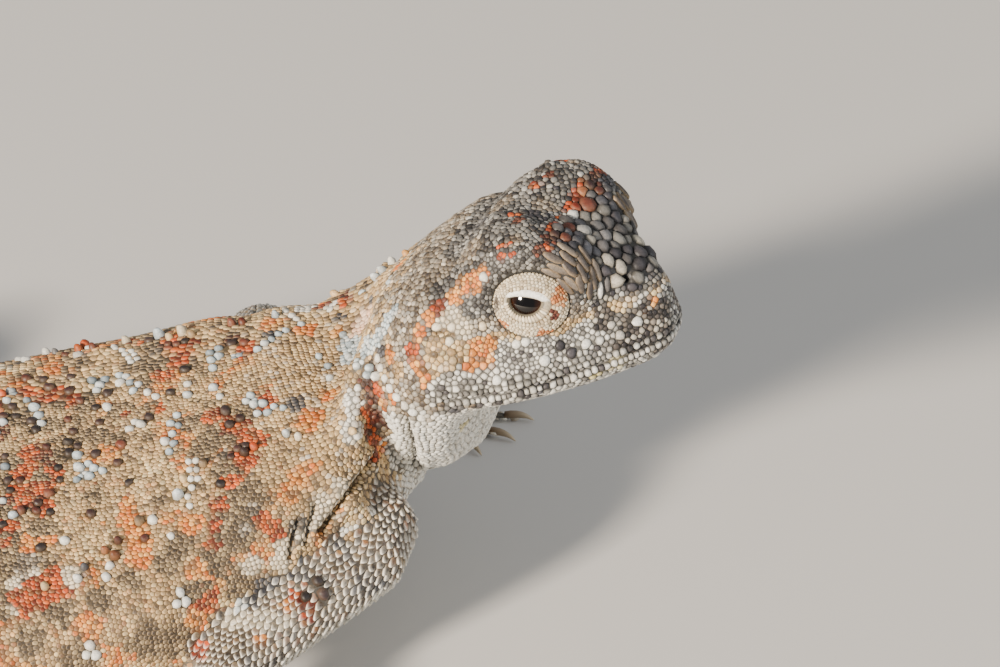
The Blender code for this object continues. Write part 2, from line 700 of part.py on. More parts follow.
def make_neck(nape_ring, collection, material):
    """The neck, a bridge from the trunk's front to the nape, folded across."""
    angles = side_angles()
    _, _, _, _, ahead = trunk_frame(TRUNK_TABLE[-1][0])
    turn = np.array(head_matrix().to_3x3())
    face = turn @ np.array((1.0, 0.0, 0.0))
    start = trunk_ring(TRUNK_TABLE[-1][0], angles) + ahead * GAP
    end = nape_ring @ turn.T + np.array(HEAD_PLACE) - face * GAP
    rings = []
    for i in range(NECK_RINGS):
        t = i / (NECK_RINGS - 1)
        rings.append((2 * t ** 3 - 3 * t ** 2 + 1) * start
                     + (t ** 3 - 2 * t ** 2 + t) * ahead * NECK_PULL_TRUNK
                     + (3 * t ** 2 - 2 * t ** 3) * end
                     + (t ** 3 - t ** 2) * face * NECK_PULL_HEAD)
    rings = swell(np.array(rings), TRUNK_SWELLS)
    rings[0] = onto_plane(rings[0], start[0], ahead)
    rings[-1] = end
    normals = ring_normals(rings)
    for i in range(1, NECK_RINGS - 1):
        t = i / (NECK_RINGS - 1)
        for k, angle in enumerate(angles):
            side, height = oval(angle, 2.0)
            for place, width, on_back, on_side, below in NECK_FOLDS:
                rise = on_side * side ** 2 + (on_back if height > 0 else below) * height ** 2
                rings[i, k] += normals[i, k] * rise * math.exp(-((t - place) / width) ** 2)
    neck = loft("neck", rings, collection, material)
    normals = ring_normals(rings)
    spines = []
    for i, degrees in NECK_SPINES:
        for k in (angles.index(degrees), angles.index(360 - degrees)):
            lean = Vector(normals[i, k]) - Vector(ahead) * TUBERCLE_LEAN
            spines.append((Vector(rings[i, k]), lean.normalized()))
    return neck, spines


def add_neck_spines(neck, spines, material):
    """Short spines on the ridges of the neck."""
    for place, lean in spines:
        add_stud(place, lean, NECK_SPINE, 5, material)
    join_or_cut(neck, tool_set(), "UNION")


def make_tail(collection, material):
    """The tail in three lengths, laid on the floor."""
    total = TAIL_TABLE[-1][0]
    count = int(total / COURSE_STEP)
    course = Course([read_table(TAIL_TABLE, total * i / count)[:3] for i in range(count + 1)])

    def size_at(distance):
        return read_table(TAIL_TABLE, distance)[3:]

    for name, start, end, rings, sides in TAIL_PARTS:
        last = name == TAIL_PARTS[-1][0]
        shape = tube_rings(course, start, end, rings, size_at, sides, 2.1, (True, not last))
        if start == 0.0:
            _, _, _, _, ahead = trunk_frame(TRUNK_TABLE[0][0])
            centre = np.array(course.at(0.0)) - ahead * GAP
            first = onto_plane(np.array([tuple(p) for p in shape[0]]), centre, ahead)
            shape[0] = [Vector(point) for point in first]
        tip = course.at(total) if last else None
        length = loft(name, shape, collection, material, end_tip=tip)
        trim_to_floor(length, material)


def limb_sizes(marks, sizes):
    """Half width and half height along a limb, by distance."""
    table = [(mark, *size) for mark, size in zip(marks, sizes)]
    return lambda distance: read_table(table, distance)


def rod(name, root, run, table, thick, sides, tip, tools, material):
    """A level toe or claw: shares of its run, heights and thicknesses, and its tip."""
    ahead = run.normalized()
    left = UP.cross(ahead)
    rings = []
    for share, height, wide in table:
        middle = root + run * share
        middle.z = height
        ring = []
        for k in range(sides):
            turn = 2 * math.pi * (k + 0.5) / sides
            ring.append(middle + (left * math.sin(turn) + UP * math.cos(turn)) * thick * wide)
        rings.append(ring)
    end = root + run + ahead * tip[0]
    end.z = tip[1]
    mark_tool(loft(name, rings, tools, material, end_tip=end))


def make_toes(palm_end, bearing, toes, inner_side, tools, material):
    """Toes with claws, spread from the end of a palm or sole."""
    aside = Vector((-math.sin(bearing), math.cos(bearing), 0.0)) * inner_side
    for number, (length, spread, across) in enumerate(toes):
        angle = bearing + inner_side * math.radians(spread)
        ahead = Vector((math.cos(angle), math.sin(angle), 0.0))
        root = palm_end + aside * across - ahead * TOE_LAP
        whole = length + TOE_LAP
        rod("toe_%d" % number, root, ahead * whole, TOE_TABLE, TOE_THICK, TOE_SIDES, TOE_TIP,
            tools, material)
        rod("claw_%d" % number, root + ahead * whole * CLAW_START, ahead * CLAW_LONG,
            CLAW_TABLE, CLAW_THICK, CLAW_SIDES, CLAW_TIP, tools, material)


def make_limb(names, corners, sizes, toes, side, body, collection, material):
    """A limb in three nodes, its root fitted to the body it grows from."""
    course = bent_course(corners, LIMB_BEND)
    bend = course.nearest(corners[-3]) + JOINT_AHEAD
    narrow = course.nearest(corners[-2]) - WRIST_BACK
    marks = (0.0, bend * 0.5, bend, (bend + narrow) / 2, narrow, course.length)
    size_at = limb_sizes(marks, sizes)

    rings = tube_rings(course, 0.0, bend, LIMB_RINGS[0], size_at, LIMB_SIDES, LIMB_ROUNDNESS,
                       (False, True))
    upper = loft(names[0], rings, collection, material)
    for piece in body:
        grown_copy(piece, GAP, tool_set())
    join_or_cut(upper, tool_set(), "DIFFERENCE")

    rings = tube_rings(course, bend, narrow, LIMB_RINGS[1], size_at, LIMB_SIDES, LIMB_ROUNDNESS)
    loft(names[1], rings, collection, material)

    rings = tube_rings(course, narrow, course.length, LIMB_RINGS[2], size_at, LIMB_SIDES,
                       LIMB_ROUNDNESS, (True, False))
    end = course.at(course.length)
    heading = course.heading(course.length)
    palm = loft(names[2], rings, collection, material, end_tip=end + heading * PALM_TIP)
    bearing = math.atan2(heading.y, heading.x)
    make_toes(end, bearing, toes, -side, tool_set(), material)
    join_or_cut(palm, tool_set(), "UNION")
    trim_to_floor(palm, material)


def to_metres(collection):
    """Bring the finished solids from millimetres to metres, and shade them smooth."""
    for thing in collection.objects:
        place = thing.matrix_world.copy()
        thing.data.transform(Matrix.Scale(MM, 4))
        place.translation = place.translation * MM
        thing.matrix_world = place
        thing.data.shade_smooth()
        thing.data.set_sharp_from_angle(angle=math.radians(SHARP_EDGE))


def build():
    """Make the whole animal."""
    clear_scene()
    lizard = new_collection("sunwatcher_toadhead_agama")
    head_skin = new_material("head_skin", GREY_SAND, 0.75)
    body_skin = new_material("body_skin", SAND, 0.8)
    limb_skin = new_material("limb_skin", PALE_SAND, 0.8)
    tail_skin = new_material("tail_skin", SAND, 0.8)
    eye_surface = new_material("eye_surface", EYE_BROWN, 0.1)

    torso = make_trunk(lizard, body_skin)
    head, nape_ring = make_head(lizard, head_skin)
    neck, spines = make_neck(nape_ring, lizard, body_skin)
    make_eyes(lizard, eye_surface)
    make_tail(lizard, tail_skin)
    for side, name, corners in ((-1, "right", RIGHT_ARM), (1, "left", LEFT_ARM)):
        names = [name + "_upper_arm", name + "_forearm", name + "_hand"]
        make_limb(names, corners, ARM_SIZES, HAND_TOES, side, (torso, neck),
                  lizard, limb_skin)
    for side, name, corners in ((-1, "right", RIGHT_LEG), (1, "left", LEFT_LEG)):
        names = [name + "_thigh", name + "_shin", name + "_foot"]
        make_limb(names, corners, LEG_SIZES, FOOT_TOES, side, (torso,),
                  lizard, limb_skin)
    add_neck_spines(neck, spines, body_skin)
    add_back_tubercles(torso, body_skin)
    trim_to_floor(torso, body_skin)
    to_metres(lizard)
    bpy.data.collections.remove(tool_set())


build()
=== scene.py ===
"""Sunwatcher toadhead agama (Phrynocephalus helioscopus), a still figure at life size.

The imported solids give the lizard's form. Over them come one skin from snout to tail,
lids, eyes, many thousands of separate scales, and claws of horn.
"""
import json
import math

import bmesh
import bpy
import numpy as np
from mathutils import Matrix, Vector, noise
from mathutils.bvhtree import BVHTree
from mathutils.kdtree import KDTree

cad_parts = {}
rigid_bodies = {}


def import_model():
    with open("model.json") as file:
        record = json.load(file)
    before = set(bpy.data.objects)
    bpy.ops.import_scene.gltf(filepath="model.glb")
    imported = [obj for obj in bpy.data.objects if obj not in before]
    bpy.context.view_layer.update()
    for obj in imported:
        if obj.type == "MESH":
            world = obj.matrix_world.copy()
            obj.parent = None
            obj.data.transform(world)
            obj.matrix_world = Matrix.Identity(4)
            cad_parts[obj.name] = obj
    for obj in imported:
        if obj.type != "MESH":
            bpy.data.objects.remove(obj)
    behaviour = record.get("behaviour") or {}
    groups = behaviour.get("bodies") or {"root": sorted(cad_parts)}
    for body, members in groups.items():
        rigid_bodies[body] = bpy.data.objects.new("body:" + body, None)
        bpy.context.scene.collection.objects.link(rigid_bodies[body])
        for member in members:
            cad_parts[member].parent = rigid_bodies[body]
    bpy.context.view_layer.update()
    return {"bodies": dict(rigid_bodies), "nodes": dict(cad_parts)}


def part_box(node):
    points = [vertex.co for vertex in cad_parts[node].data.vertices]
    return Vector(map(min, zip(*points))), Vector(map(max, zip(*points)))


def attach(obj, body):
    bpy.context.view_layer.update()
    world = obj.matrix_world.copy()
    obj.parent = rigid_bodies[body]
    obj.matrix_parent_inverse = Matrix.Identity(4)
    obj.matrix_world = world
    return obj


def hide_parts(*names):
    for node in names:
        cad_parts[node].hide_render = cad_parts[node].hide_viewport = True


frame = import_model()
body = next(iter(frame["bodies"]))

# View
# A long lens looks down at the head from the animal's right front, as in the photo,
# where one millimetre at the head is 18.5 pixels of a picture 1000 pixels wide.
MM = 0.001
PICTURE = (1000.0, 667.0)
PIXELS_PER_MM = 18.5
HEAD_PLACE = Vector((31.0, -0.5, 15.0)) * MM
HEAD_PIXEL = (434.0, 347.0)
LENS = 200.0
SENSOR = 36.0
view_right = Vector((0.978, -0.208, 0.0)).normalized()
view_back = Vector((-0.176, -0.830, 0.530)).normalized()
view_up = view_back.cross(view_right).normalized()
view_right = view_up.cross(view_back).normalized()


def on_view_plane(px, py):
    """The point seen at a pixel, on the plane through the head's middle."""
    across = (px - HEAD_PIXEL[0]) / PIXELS_PER_MM * MM
    above = (HEAD_PIXEL[1] - py) / PIXELS_PER_MM * MM
    return HEAD_PLACE + view_right * across + view_up * above


distance = PICTURE[0] / PIXELS_PER_MM * MM * LENS / SENSOR
lens_place = on_view_plane(PICTURE[0] / 2, PICTURE[1] / 2) + view_back * distance
camera = bpy.data.objects.new("camera", bpy.data.cameras.new("camera"))
bpy.context.scene.collection.objects.link(camera)
turn = Matrix((view_right, view_up, view_back)).transposed().to_4x4()
camera.matrix_world = Matrix.Translation(lens_place) @ turn
camera.data.lens = LENS
camera.data.sensor_width = SENSOR
camera.data.clip_start = 0.005
bpy.context.scene.camera = camera

# Skin
# The skin is one piece from snout to tail, thin and soft. It starts as copies of the
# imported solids, grown until they meet, melted into one and drawn in under the scales.
GROWTH = 0.20 * MM             # closes the gaps between the solids
SCALE_DEPTH = 0.14 * MM        # how far the skin lies inside the solids
MELT = 0.32 * MM               # size of the net that melts the copies into one
SOCKET_BALL = 2.3 * MM
flesh = sorted(name for name in frame["nodes"] if not name.startswith("eye_"))


def choose(*things):
    """Select these objects alone, the first one active."""
    bpy.ops.object.select_all(action="DESELECT")
    for thing in things:
        thing.select_set(True)
    bpy.context.view_layer.objects.active = things[0]


def apply_all(thing):
    """Apply an object's modifiers in order."""
    choose(thing)
    for modifier in list(thing.modifiers):
        bpy.ops.object.modifier_apply(modifier=modifier.name)


def middle_of(node):
    """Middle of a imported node's box."""
    low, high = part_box(node)
    return (Vector(low) + Vector(high)) / 2


def points_of(thing):
    """An object's vertices as an array of places."""
    flat = np.empty(len(thing.data.vertices) * 3)
    thing.data.vertices.foreach_get("co", flat)
    return flat.reshape(-1, 3)


node_points = {}
copies = []
for name in flesh:
    node = frame["nodes"][name]
    copy = node.copy()
    copy.data = node.data.copy()
    copy.parent = None
    copy.matrix_world = node.matrix_world
    bpy.context.scene.collection.objects.link(copy)
    choose(copy)
    bpy.ops.object.mode_set(mode="EDIT")
    bpy.ops.mesh.select_all(action="SELECT")
    bpy.ops.mesh.remove_doubles(threshold=1e-7)
    bpy.ops.object.mode_set(mode="OBJECT")
    node_points[name] = points_of(copy)
    grow = copy.modifiers.new("grow", "DISPLACE")
    grow.mid_level = 0.0
    grow.strength = GROWTH
    apply_all(copy)
    copies.append(copy)
for side in ("left", "right"):
    bpy.ops.object.select_all(action="DESELECT")
    bpy.ops.mesh.primitive_uv_sphere_add(segments=32, ring_count=20, radius=SOCKET_BALL,
                                         location=middle_of("eye_" + side))
    bpy.ops.object.transform_apply(location=True, rotation=True, scale=True)
    copies.append(bpy.context.object)
choose(*copies)
bpy.ops.object.join()
skin = bpy.context.object
skin.name = skin.data.name = "skin"
melt = skin.modifiers.new("melt", "REMESH")
melt.mode = "VOXEL"
melt.voxel_size = MELT
apply_all(skin)


# Which part of the body each point of the skin belongs to
def tree_of(places):
    """A search tree over places, numbered in their order."""
    tree = KDTree(len(places))
    for i, place in enumerate(places):
        tree.insert(place, i)
    tree.balance()
    return tree


part_names = [name for name in node_points for _ in node_points[name]]
part_tree = tree_of([point for points in node_points.values() for point in points])


def part_at(place):
    """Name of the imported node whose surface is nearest."""
    return part_names[part_tree.find(place)[1]]


# The bumps that the solids' few large tubercles leave are smoothed away, most on the
# back and the forehead, least on the toes, whose form is as thin as the net.
shrink = skin.modifiers.new("shrink", "DISPLACE")
shrink.mid_level = 0.0
shrink.strength = -(GROWTH + SCALE_DEPTH)
broad = skin.vertex_groups.new(name="broad")
broad_parts = {"torso": 1.0, "neck": 0.8, "head": 0.12}
for vertex in skin.data.vertices:
    share = broad_parts.get(part_at(vertex.co))
    if share:
        broad.add([vertex.index], share, "REPLACE")
even = skin.modifiers.new("even", "SMOOTH")
even.factor = 0.5
even.iterations = 3
ease = skin.modifiers.new("ease", "SMOOTH")
ease.factor = 0.6
ease.iterations = 14
ease.vertex_group = "broad"
apply_all(skin)
bpy.ops.object.shade_smooth()
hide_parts(*flesh)
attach(skin, body)

# Sockets, mouth and nostrils in the skin
# Around each eye the skin is drawn in behind the lids, which are a piece of their own.
# The line of the mouth, the nostrils and the fold behind the jaw are pressed into it.
HEAD_TURN = math.radians(-32.0)
HEAD_LIFT = math.radians(10.0)
OPENING_PIXEL = (523.5, 306.0)         # middle of the photographed eye's opening
RIM_PIXEL = (530.0, 309.0)             # middle of its lids
SLIT_FALL = math.radians(5.0)          # the slit falls a little towards the snout
SLIT_RADIUS = 2.2 * MM                 # distance of the lids' surface from the eye's
LID_RADIUS = 2.4 * MM                  # middle, at the slit and beyond it
RIM = (56.0, 46.0)                     # half length and half height of the lids' outer edge
MOUTH = ((14.6, 1.9), (13.5, 1.8), (12.1, 1.7), (9.4, 1.6), (7.5, 1.5), (3.9, 1.4))
NOSTRIL_PIXEL = (626.5, 277.5)
NOSTRIL_HALF = (0.13, 0.26)            # half width and half height of the opening
NOSTRIL_DEPTH = 0.60                   # in mm
NAPE_DEPTH = 0.35 * MM
NAPE_GROOVE = (3.9, 0.9)               # its place on the head and its half width, in mm
MOUTH_GROOVE = (0.20, 0.16)            # depth and half width in mm
SOCKET_SHARE = 1.22                    # how far out the skin round an eye is drawn in
SOCKET_RADIUS = 1.7 * MM               # to this distance from the eye's middle
SOCKET_SLOPE = (0.96, 0.09)            # where the socket's slope starts, and its width
FAR_OUT = 9.0                          # the share of a place that is nowhere near
SIGHT_START = 60                       # mm before the head where a line of sight starts
head_frame = (Matrix.Translation(HEAD_PLACE) @ Matrix.Rotation(HEAD_TURN, 4, "Z")
              @ Matrix.Rotation(-HEAD_LIFT, 4, "Y"))
to_head = head_frame.inverted()


def toward(centre, px, py, radius):
    """Direction from a ball's middle to its point seen at a pixel."""
    offset = on_view_plane(px, py) - centre
    across, above = offset.dot(view_right), offset.dot(view_up)
    depth = math.sqrt(max(radius ** 2 - across ** 2 - above ** 2, 0.0))
    return (view_right * across + view_up * above + view_back * depth).normalized()


def mirrored(direction):
    """A direction's like on the far side of the head."""
    local = to_head.to_3x3() @ direction
    return head_frame.to_3x3() @ Vector((local.x, -local.y, local.z))


# Each eye has its middle, where it looks, the lids' middle, and the slit's two axes.
eyes = {}
centre = middle_of("eye_right")
look = toward(centre, *OPENING_PIXEL, SLIT_RADIUS)
lid_look = toward(centre, *RIM_PIXEL, LID_RADIUS)
slit = view_right * math.cos(SLIT_FALL) - view_up * math.sin(SLIT_FALL)
eyes["right"] = (centre, look, lid_look, slit)
eyes["left"] = (middle_of("eye_left"), mirrored(look), mirrored(lid_look), mirrored(slit))


def lid_share(place, side):
    """How far out a place lies over the lids of one eye: 1.0 is at their outer edge."""
    centre, _, axis, slit = eyes[side]
    away = place - centre
    if away.length > 4.2 * MM or away.length < 0.2 * MM:
        return FAR_OUT
    away.normalize()
    along = (slit - axis * slit.dot(axis)).normalized()
    upward = axis.cross(along)
    far = math.degrees(math.acos(max(-1.0, min(1.0, away.dot(axis)))))
    flat = Vector((away.dot(along), away.dot(upward)))
    if flat.length < 1e-6:
        return 0.0
    flat.normalize()
    return math.hypot(far * flat.x / RIM[0], far * flat.y / RIM[1])


def least_lid_share(place):
    """How far out a place lies over the lids of the nearer eye."""
    return min(lid_share(place, "left"), lid_share(place, "right"))


def mouth_height(x):
    """Height of the line of the mouth in the head's frame, both in mm."""
    return float(np.interp(-x, [-entry[0] for entry in MOUTH], [entry[1] for entry in MOUTH]))


def refine(wanted):
    """Halve the skin's net where wanted."""
    choose(skin)
    bpy.ops.object.mode_set(mode="EDIT")
    bpy.ops.mesh.select_mode(type="FACE")
    bpy.ops.mesh.select_all(action="DESELECT")
    net = bmesh.from_edit_mesh(skin.data)
    for face in net.faces:
        if wanted(face.calc_center_median()):
            face.select = True
    bmesh.update_edit_mesh(skin.data)
    bpy.ops.mesh.subdivide(number_cuts=1, smoothness=0.0)
    bpy.ops.object.mode_set(mode="OBJECT")


def surface_of(thing):
    """A search tree over an object's faces."""
    return BVHTree.FromPolygons([v.co for v in thing.data.vertices],
                                [tuple(p.vertices) for p in thing.data.polygons])


def sight(tree, px, py):
    """Place and normal where a surface is seen at a pixel, both None where it misses."""
    start = on_view_plane(px, py)
    away = (start - lens_place).normalized()
    return tree.ray_cast(start - away * SIGHT_START * MM, away)[:2]


first_tree = surface_of(skin)
local = to_head @ sight(first_tree, *NOSTRIL_PIXEL)[0]
nostrils = [first_tree.find_nearest(head_frame @ Vector((local.x, y, local.z)))[:2]
            for y in (local.y, -local.y)]


def nostril_share(place):
    """How far out a place lies from the nearer nostril: 1.0 is at its edge."""
    least = FAR_OUT
    for middle, normal in nostrils:
        away = place - middle
        if away.length < 1.5 * MM:
            upward = (Vector((0.0, 0.0, 1.0)) - normal * normal.z).normalized()
            aside = normal.cross(upward)
            least = min(least, math.hypot(away.dot(aside) / NOSTRIL_HALF[0],
                                          away.dot(upward) / NOSTRIL_HALF[1]) / MM)
    return least


# Folds at the root of the right arm and behind the jaw: pixels along them, depth and
# half width in mm
FOLDS = (
    (((373, 459), (358, 481), (340, 507), (322, 531)), 0.62, 0.24),
    (((315, 506), (310, 524), (306, 543)), 0.30, 0.18),
    (((298, 522), (292, 540), (290, 558)), 0.30, 0.18),
    (((404, 417), (411, 440), (416, 464)), 0.50, 0.30),
)
folds = []                             # place, depth, half width
for corners, depth, half in FOLDS:
    for (x0, y0), (x1, y1) in zip(corners, corners[1:]):
        for step in np.linspace(0.0, 1.0, 12):
            place, _ = sight(first_tree, x0 + (x1 - x0) * step, y0 + (y1 - y0) * step)
            if place is not None:
                folds.append((place, depth * MM, half * MM))
fold_tree = tree_of([place for place, _, _ in folds])


def fold_at(place):
    """How far out a place lies from the nearest fold, and that fold's depth."""
    _, index, far = fold_tree.find(place)
    return far / folds[index][2], folds[index][1]


def is_detailed(place):
    """Near the lids, the line of the mouth, a nostril or a fold."""
    if fold_at(place)[0] < 3.5:
        return True
    if least_lid_share(place) < 1.5:
        return True
    x, _, z = (to_head @ place) / MM
    if x > 3.0 and abs(z - mouth_height(x)) < 0.6:
        return True
    return nostril_share(place) < 4.0


refine(is_detailed)
normals = [vertex.normal.copy() for vertex in skin.data.vertices]
for vertex, normal in zip(skin.data.vertices, normals):
    place = vertex.co.copy()
    for side in eyes:
        share = lid_share(place, side)
        if share < SOCKET_SHARE:
            centre = eyes[side][0]
            away = place - centre
            blend = max(0.0, min(1.0, (share - SOCKET_SLOPE[0]) / SOCKET_SLOPE[1]))
            vertex.co = centre + away.normalized() * (
                SOCKET_RADIUS + (away.length - SOCKET_RADIUS) * blend)
    far, depth = fold_at(place)
    if far < 3.0:
        vertex.co -= normal * depth * (math.exp(-far ** 2) - 0.25 * math.exp(-(far - 2.0) ** 2))
    x, y, z = (to_head @ place) / MM
    if part_at(place) == "head":
        if z > 5.0:                    # the groove between nape and brows
            vertex.co -= normal * NAPE_DEPTH * math.exp(-((x - NAPE_GROOVE[0]) / NAPE_GROOVE[1]) ** 2)
        gap = z - mouth_height(x)
        if x > 3.7 and abs(gap) < 0.5:
            vertex.co -= (normal * MOUTH_GROOVE[0] * MM
                          * math.exp(-(gap / MOUTH_GROOVE[1]) ** 2))
        far = nostril_share(place)
        if far < 3.0:
            vertex.co -= normal * NOSTRIL_DEPTH * MM * math.exp(-far ** 2)
skin.data.update()

# Ends of the toes in the skin
# The skin stops where a claw comes out of its toe, a little over a millimetre short of
# the claw's tip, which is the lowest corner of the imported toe.
CLAW_TIP_HEIGHT = 0.1 * MM
CLAW_OUT = 1.2 * MM            # length of a claw outside its toe
CLAW_REACH = 2.2 * MM          # how far round a claw's tip the skin is looked at
TOE_HALF = 0.6 * MM            # and how far aside from the line of the claw
TOE_TOP = 1.6 * MM             # no toe is higher than this
POINT_GAP = 0.4 * MM           # a claw's tip has no neighbour closer than this
RING = (0.25 * MM, 0.8 * MM)   # distances between which its claw's other corners lie
claw_tips = []                 # place, direction
for name in flesh:
    if not name.endswith(("hand", "foot")):
        continue
    points = node_points[name]
    for point in points[np.abs(points[:, 2] - CLAW_TIP_HEIGHT) < 0.02 * MM]:
        far = np.linalg.norm(points - point, axis=1)
        if np.sort(far)[1] < POINT_GAP:         # not a point, but a rounded end
            continue
        ring = points[(far > RING[0]) & (far < RING[1])]
        ahead = Vector(point - ring.mean(axis=0))
        ahead.z = 0.0
        if len(ring) < 3 or ahead.dot(Vector(point) - middle_of(name)) < 0:
            continue
        claw_tips.append((Vector(point), ahead.normalized()))
for vertex in skin.data.vertices:
    if not 0 < vertex.co.z < TOE_TOP:
        continue
    for tip, ahead in claw_tips:
        away = vertex.co - tip
        if away.length > CLAW_REACH:
            continue
        past = away.dot(ahead) + CLAW_OUT
        aside = away - ahead * away.dot(ahead)
        aside.z = 0.0
        if past > 0 and aside.length < TOE_HALF:
            vertex.co -= ahead * past
skin.data.update()

# Lie of the scales
# Scales grow in rows across the body and limbs and point away from the head, so the
# lines of spine and limbs are found first, through the places where the solids meet.
LINE_STEP = 0.5 * MM
MEETING_GAP = 0.45 * MM        # solids closer than this meet
ARM_WORDS = ("upper_arm", "forearm", "hand")
LEG_WORDS = ("thigh", "shin", "foot")
faces_of = {name: surface_of(frame["nodes"][name]) for name in flesh}
skin_tree = surface_of(skin)


def meeting(one, other):
    """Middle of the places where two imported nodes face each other."""
    near = [point for point in node_points[one]
            if faces_of[other].find_nearest(Vector(point))[3] < MEETING_GAP]
    return np.mean(near, axis=0)


def slice_middle(points, x, half=1.5 * MM):
    """Middle of the points that lie near a plane across the body."""
    near = points[np.abs(points[:, 0] - x) < half]
    return np.array((x, 0.0, (near[:, 2].min() + near[:, 2].max()) / 2))


def line_through(corners, ease):
    """Places every half millimetre on a line through the corners, rounded by ease."""
    corners = np.array([tuple(corner) for corner in corners])
    marks = np.concatenate(([0.0], np.cumsum(np.linalg.norm(np.diff(corners, axis=0), axis=1))))
    steps = np.arange(0.0, marks[-1], LINE_STEP)
    line = np.stack([np.interp(steps, marks, corners[:, i]) for i in range(3)], axis=1)
    for _ in range(ease):
        line[1:-1] = (line[:-2] + 2 * line[1:-1] + line[2:]) / 4
    return line


tail_tip = node_points["tail_end"][node_points["tail_end"][:, 0].argmin()]
head_points = node_points["head"]
nape = meeting("head", "neck")
snout = head_points[np.linalg.norm(head_points - nape, axis=1).argmax()]
lines = {"spine": line_through(
    [tail_tip, meeting("tail_end", "tail_middle"), meeting("tail_middle", "tail_base"),
     meeting("tail_base", "torso")]
    + [slice_middle(node_points["torso"], x * MM) for x in (-9, 0, 9, 16)]
    + [meeting("torso", "neck"), nape, middle_of("head"), snout], 40)}
for side in ("left", "right"):
    for name, words in (("arm", ARM_WORDS), ("leg", LEG_WORDS)):
        upper, lower, end = (side + "_" + word for word in words)
        wrist = meeting(end, lower)
        tips = node_points[end]
        tip = tips[np.linalg.norm(tips - wrist, axis=1).argmax()]
        lines[side + "_" + name] = line_through(
            [meeting(upper, "torso"), meeting(upper, lower), wrist, tip], 4)


def line_of(part):
    """Name of the line that a part's scales follow."""
    side = part.split("_")[0]
    if part.endswith(ARM_WORDS):
        return side + "_arm"
    if part.endswith(LEG_WORDS):
        return side + "_leg"
    return "spine"


def along_line(name, places):
    """Distance along a line, its direction there, and the turn around it."""
    line = lines[name]
    nearest = np.array([((line - place) ** 2).sum(axis=1).argmin() for place in places])
    ahead = np.gradient(line, axis=0)
    ahead /= np.linalg.norm(ahead, axis=1)[:, None]
    ahead = ahead[nearest]
    aside = np.cross((0.0, 0.0, 1.0), ahead)
    aside /= np.linalg.norm(aside, axis=1)[:, None]
    lift = np.cross(ahead, aside)
    away = places - line[nearest]
    turn = np.arctan2((away * aside).sum(axis=1), (away * lift).sum(axis=1))
    return nearest * LINE_STEP, ahead, turn


# Width of the scales
# They are finest on the temples and the lower back, coarse on belly, tail and arms,
# and largest on the forehead, where they stand as plates.
def head_width(place):
    """Width of a scale on the head, from its place in the head's own frame in mm."""
    if least_lid_share(Vector(place)) < 1.4:
        return 0.23                                      # beside the lids
    x, y, z = (to_head @ Vector(place)) / MM
    y = abs(y)
    vary = 1.0 + 0.5 * noise.noise(Vector(place) / (0.45 * MM))
    if z < 0.6 or (z < 1.6 and x < 4):                   # throat and chin
        return 0.33
    if x > 9.2 and y < 3.0 and z > 5.2:                  # forehead and snout's top
        return (0.48 + 0.28 * min(1.0, max(0.0, (3.4 - y) / 2.4))
                - 0.05 * max(0.0, x - 12.6)) * vary
    if x > 5.0 and z > 7.2 and y > 0.9:                  # brows
        return 0.31 * vary
    if z > 6.6:                                          # crown
        return 0.30 * vary
    if x > 9.6 and z > 3.0:                              # before the eye
        return 0.28
    if z < 4.2 and x > 2.2:                              # cheeks and lips
        return (0.38 - 0.015 * abs(x - 7.0)) * vary
    return 0.28                                          # temples


def width_at(place, normal, part):
    """Width of the scale that grows at a place."""
    under = normal[2] < -0.35
    if part == "head":
        return head_width(place) * MM
    if part == "neck":
        return (0.28 if place[1] < 2 * MM else 0.38) * MM
    if part == "torso":
        if under:
            return 0.64 * MM
        return (0.26 if place[0] > 2 * MM and place[1] < 3 * MM else 0.40) * MM
    if part.startswith("tail"):
        return (0.50 if part == "tail_base" else 0.56 if part == "tail_middle" else 0.44) * MM
    if part.endswith("upper_arm"):
        toward = normal[0] * 0.75 - normal[2] * 0.25 + normal[1] * 0.1
        return (0.42 + 0.08 * min(1.0, max(-0.6, toward * 1.6))) * MM
    if part.endswith(("forearm", "thigh", "shin")):
        return 0.52 * MM
    return 0.40 * MM


# Places of the scales
# Rows are laid across each line first, every other one moved on by half a scale, and
# what they leave open is filled at random. No scale crowds one that was laid before.
ROW_SHARE = 0.88               # distance of the rows against the width of a scale
CLEARANCE = 0.80               # of two scales' mean width that their middles keep
STRAY = 0.10                   # how far a scale strays from its row, in its own widths
RAY_LENGTH = 17 * MM           # from a line out to the skin
ROW_BREAK = 2 * MM             # a row isn't carried on over a wider gap than this
BLANK_WIDTH = 0.5 * MM         # counted where a row leaves its part of the body
draw = np.random.default_rng(7)


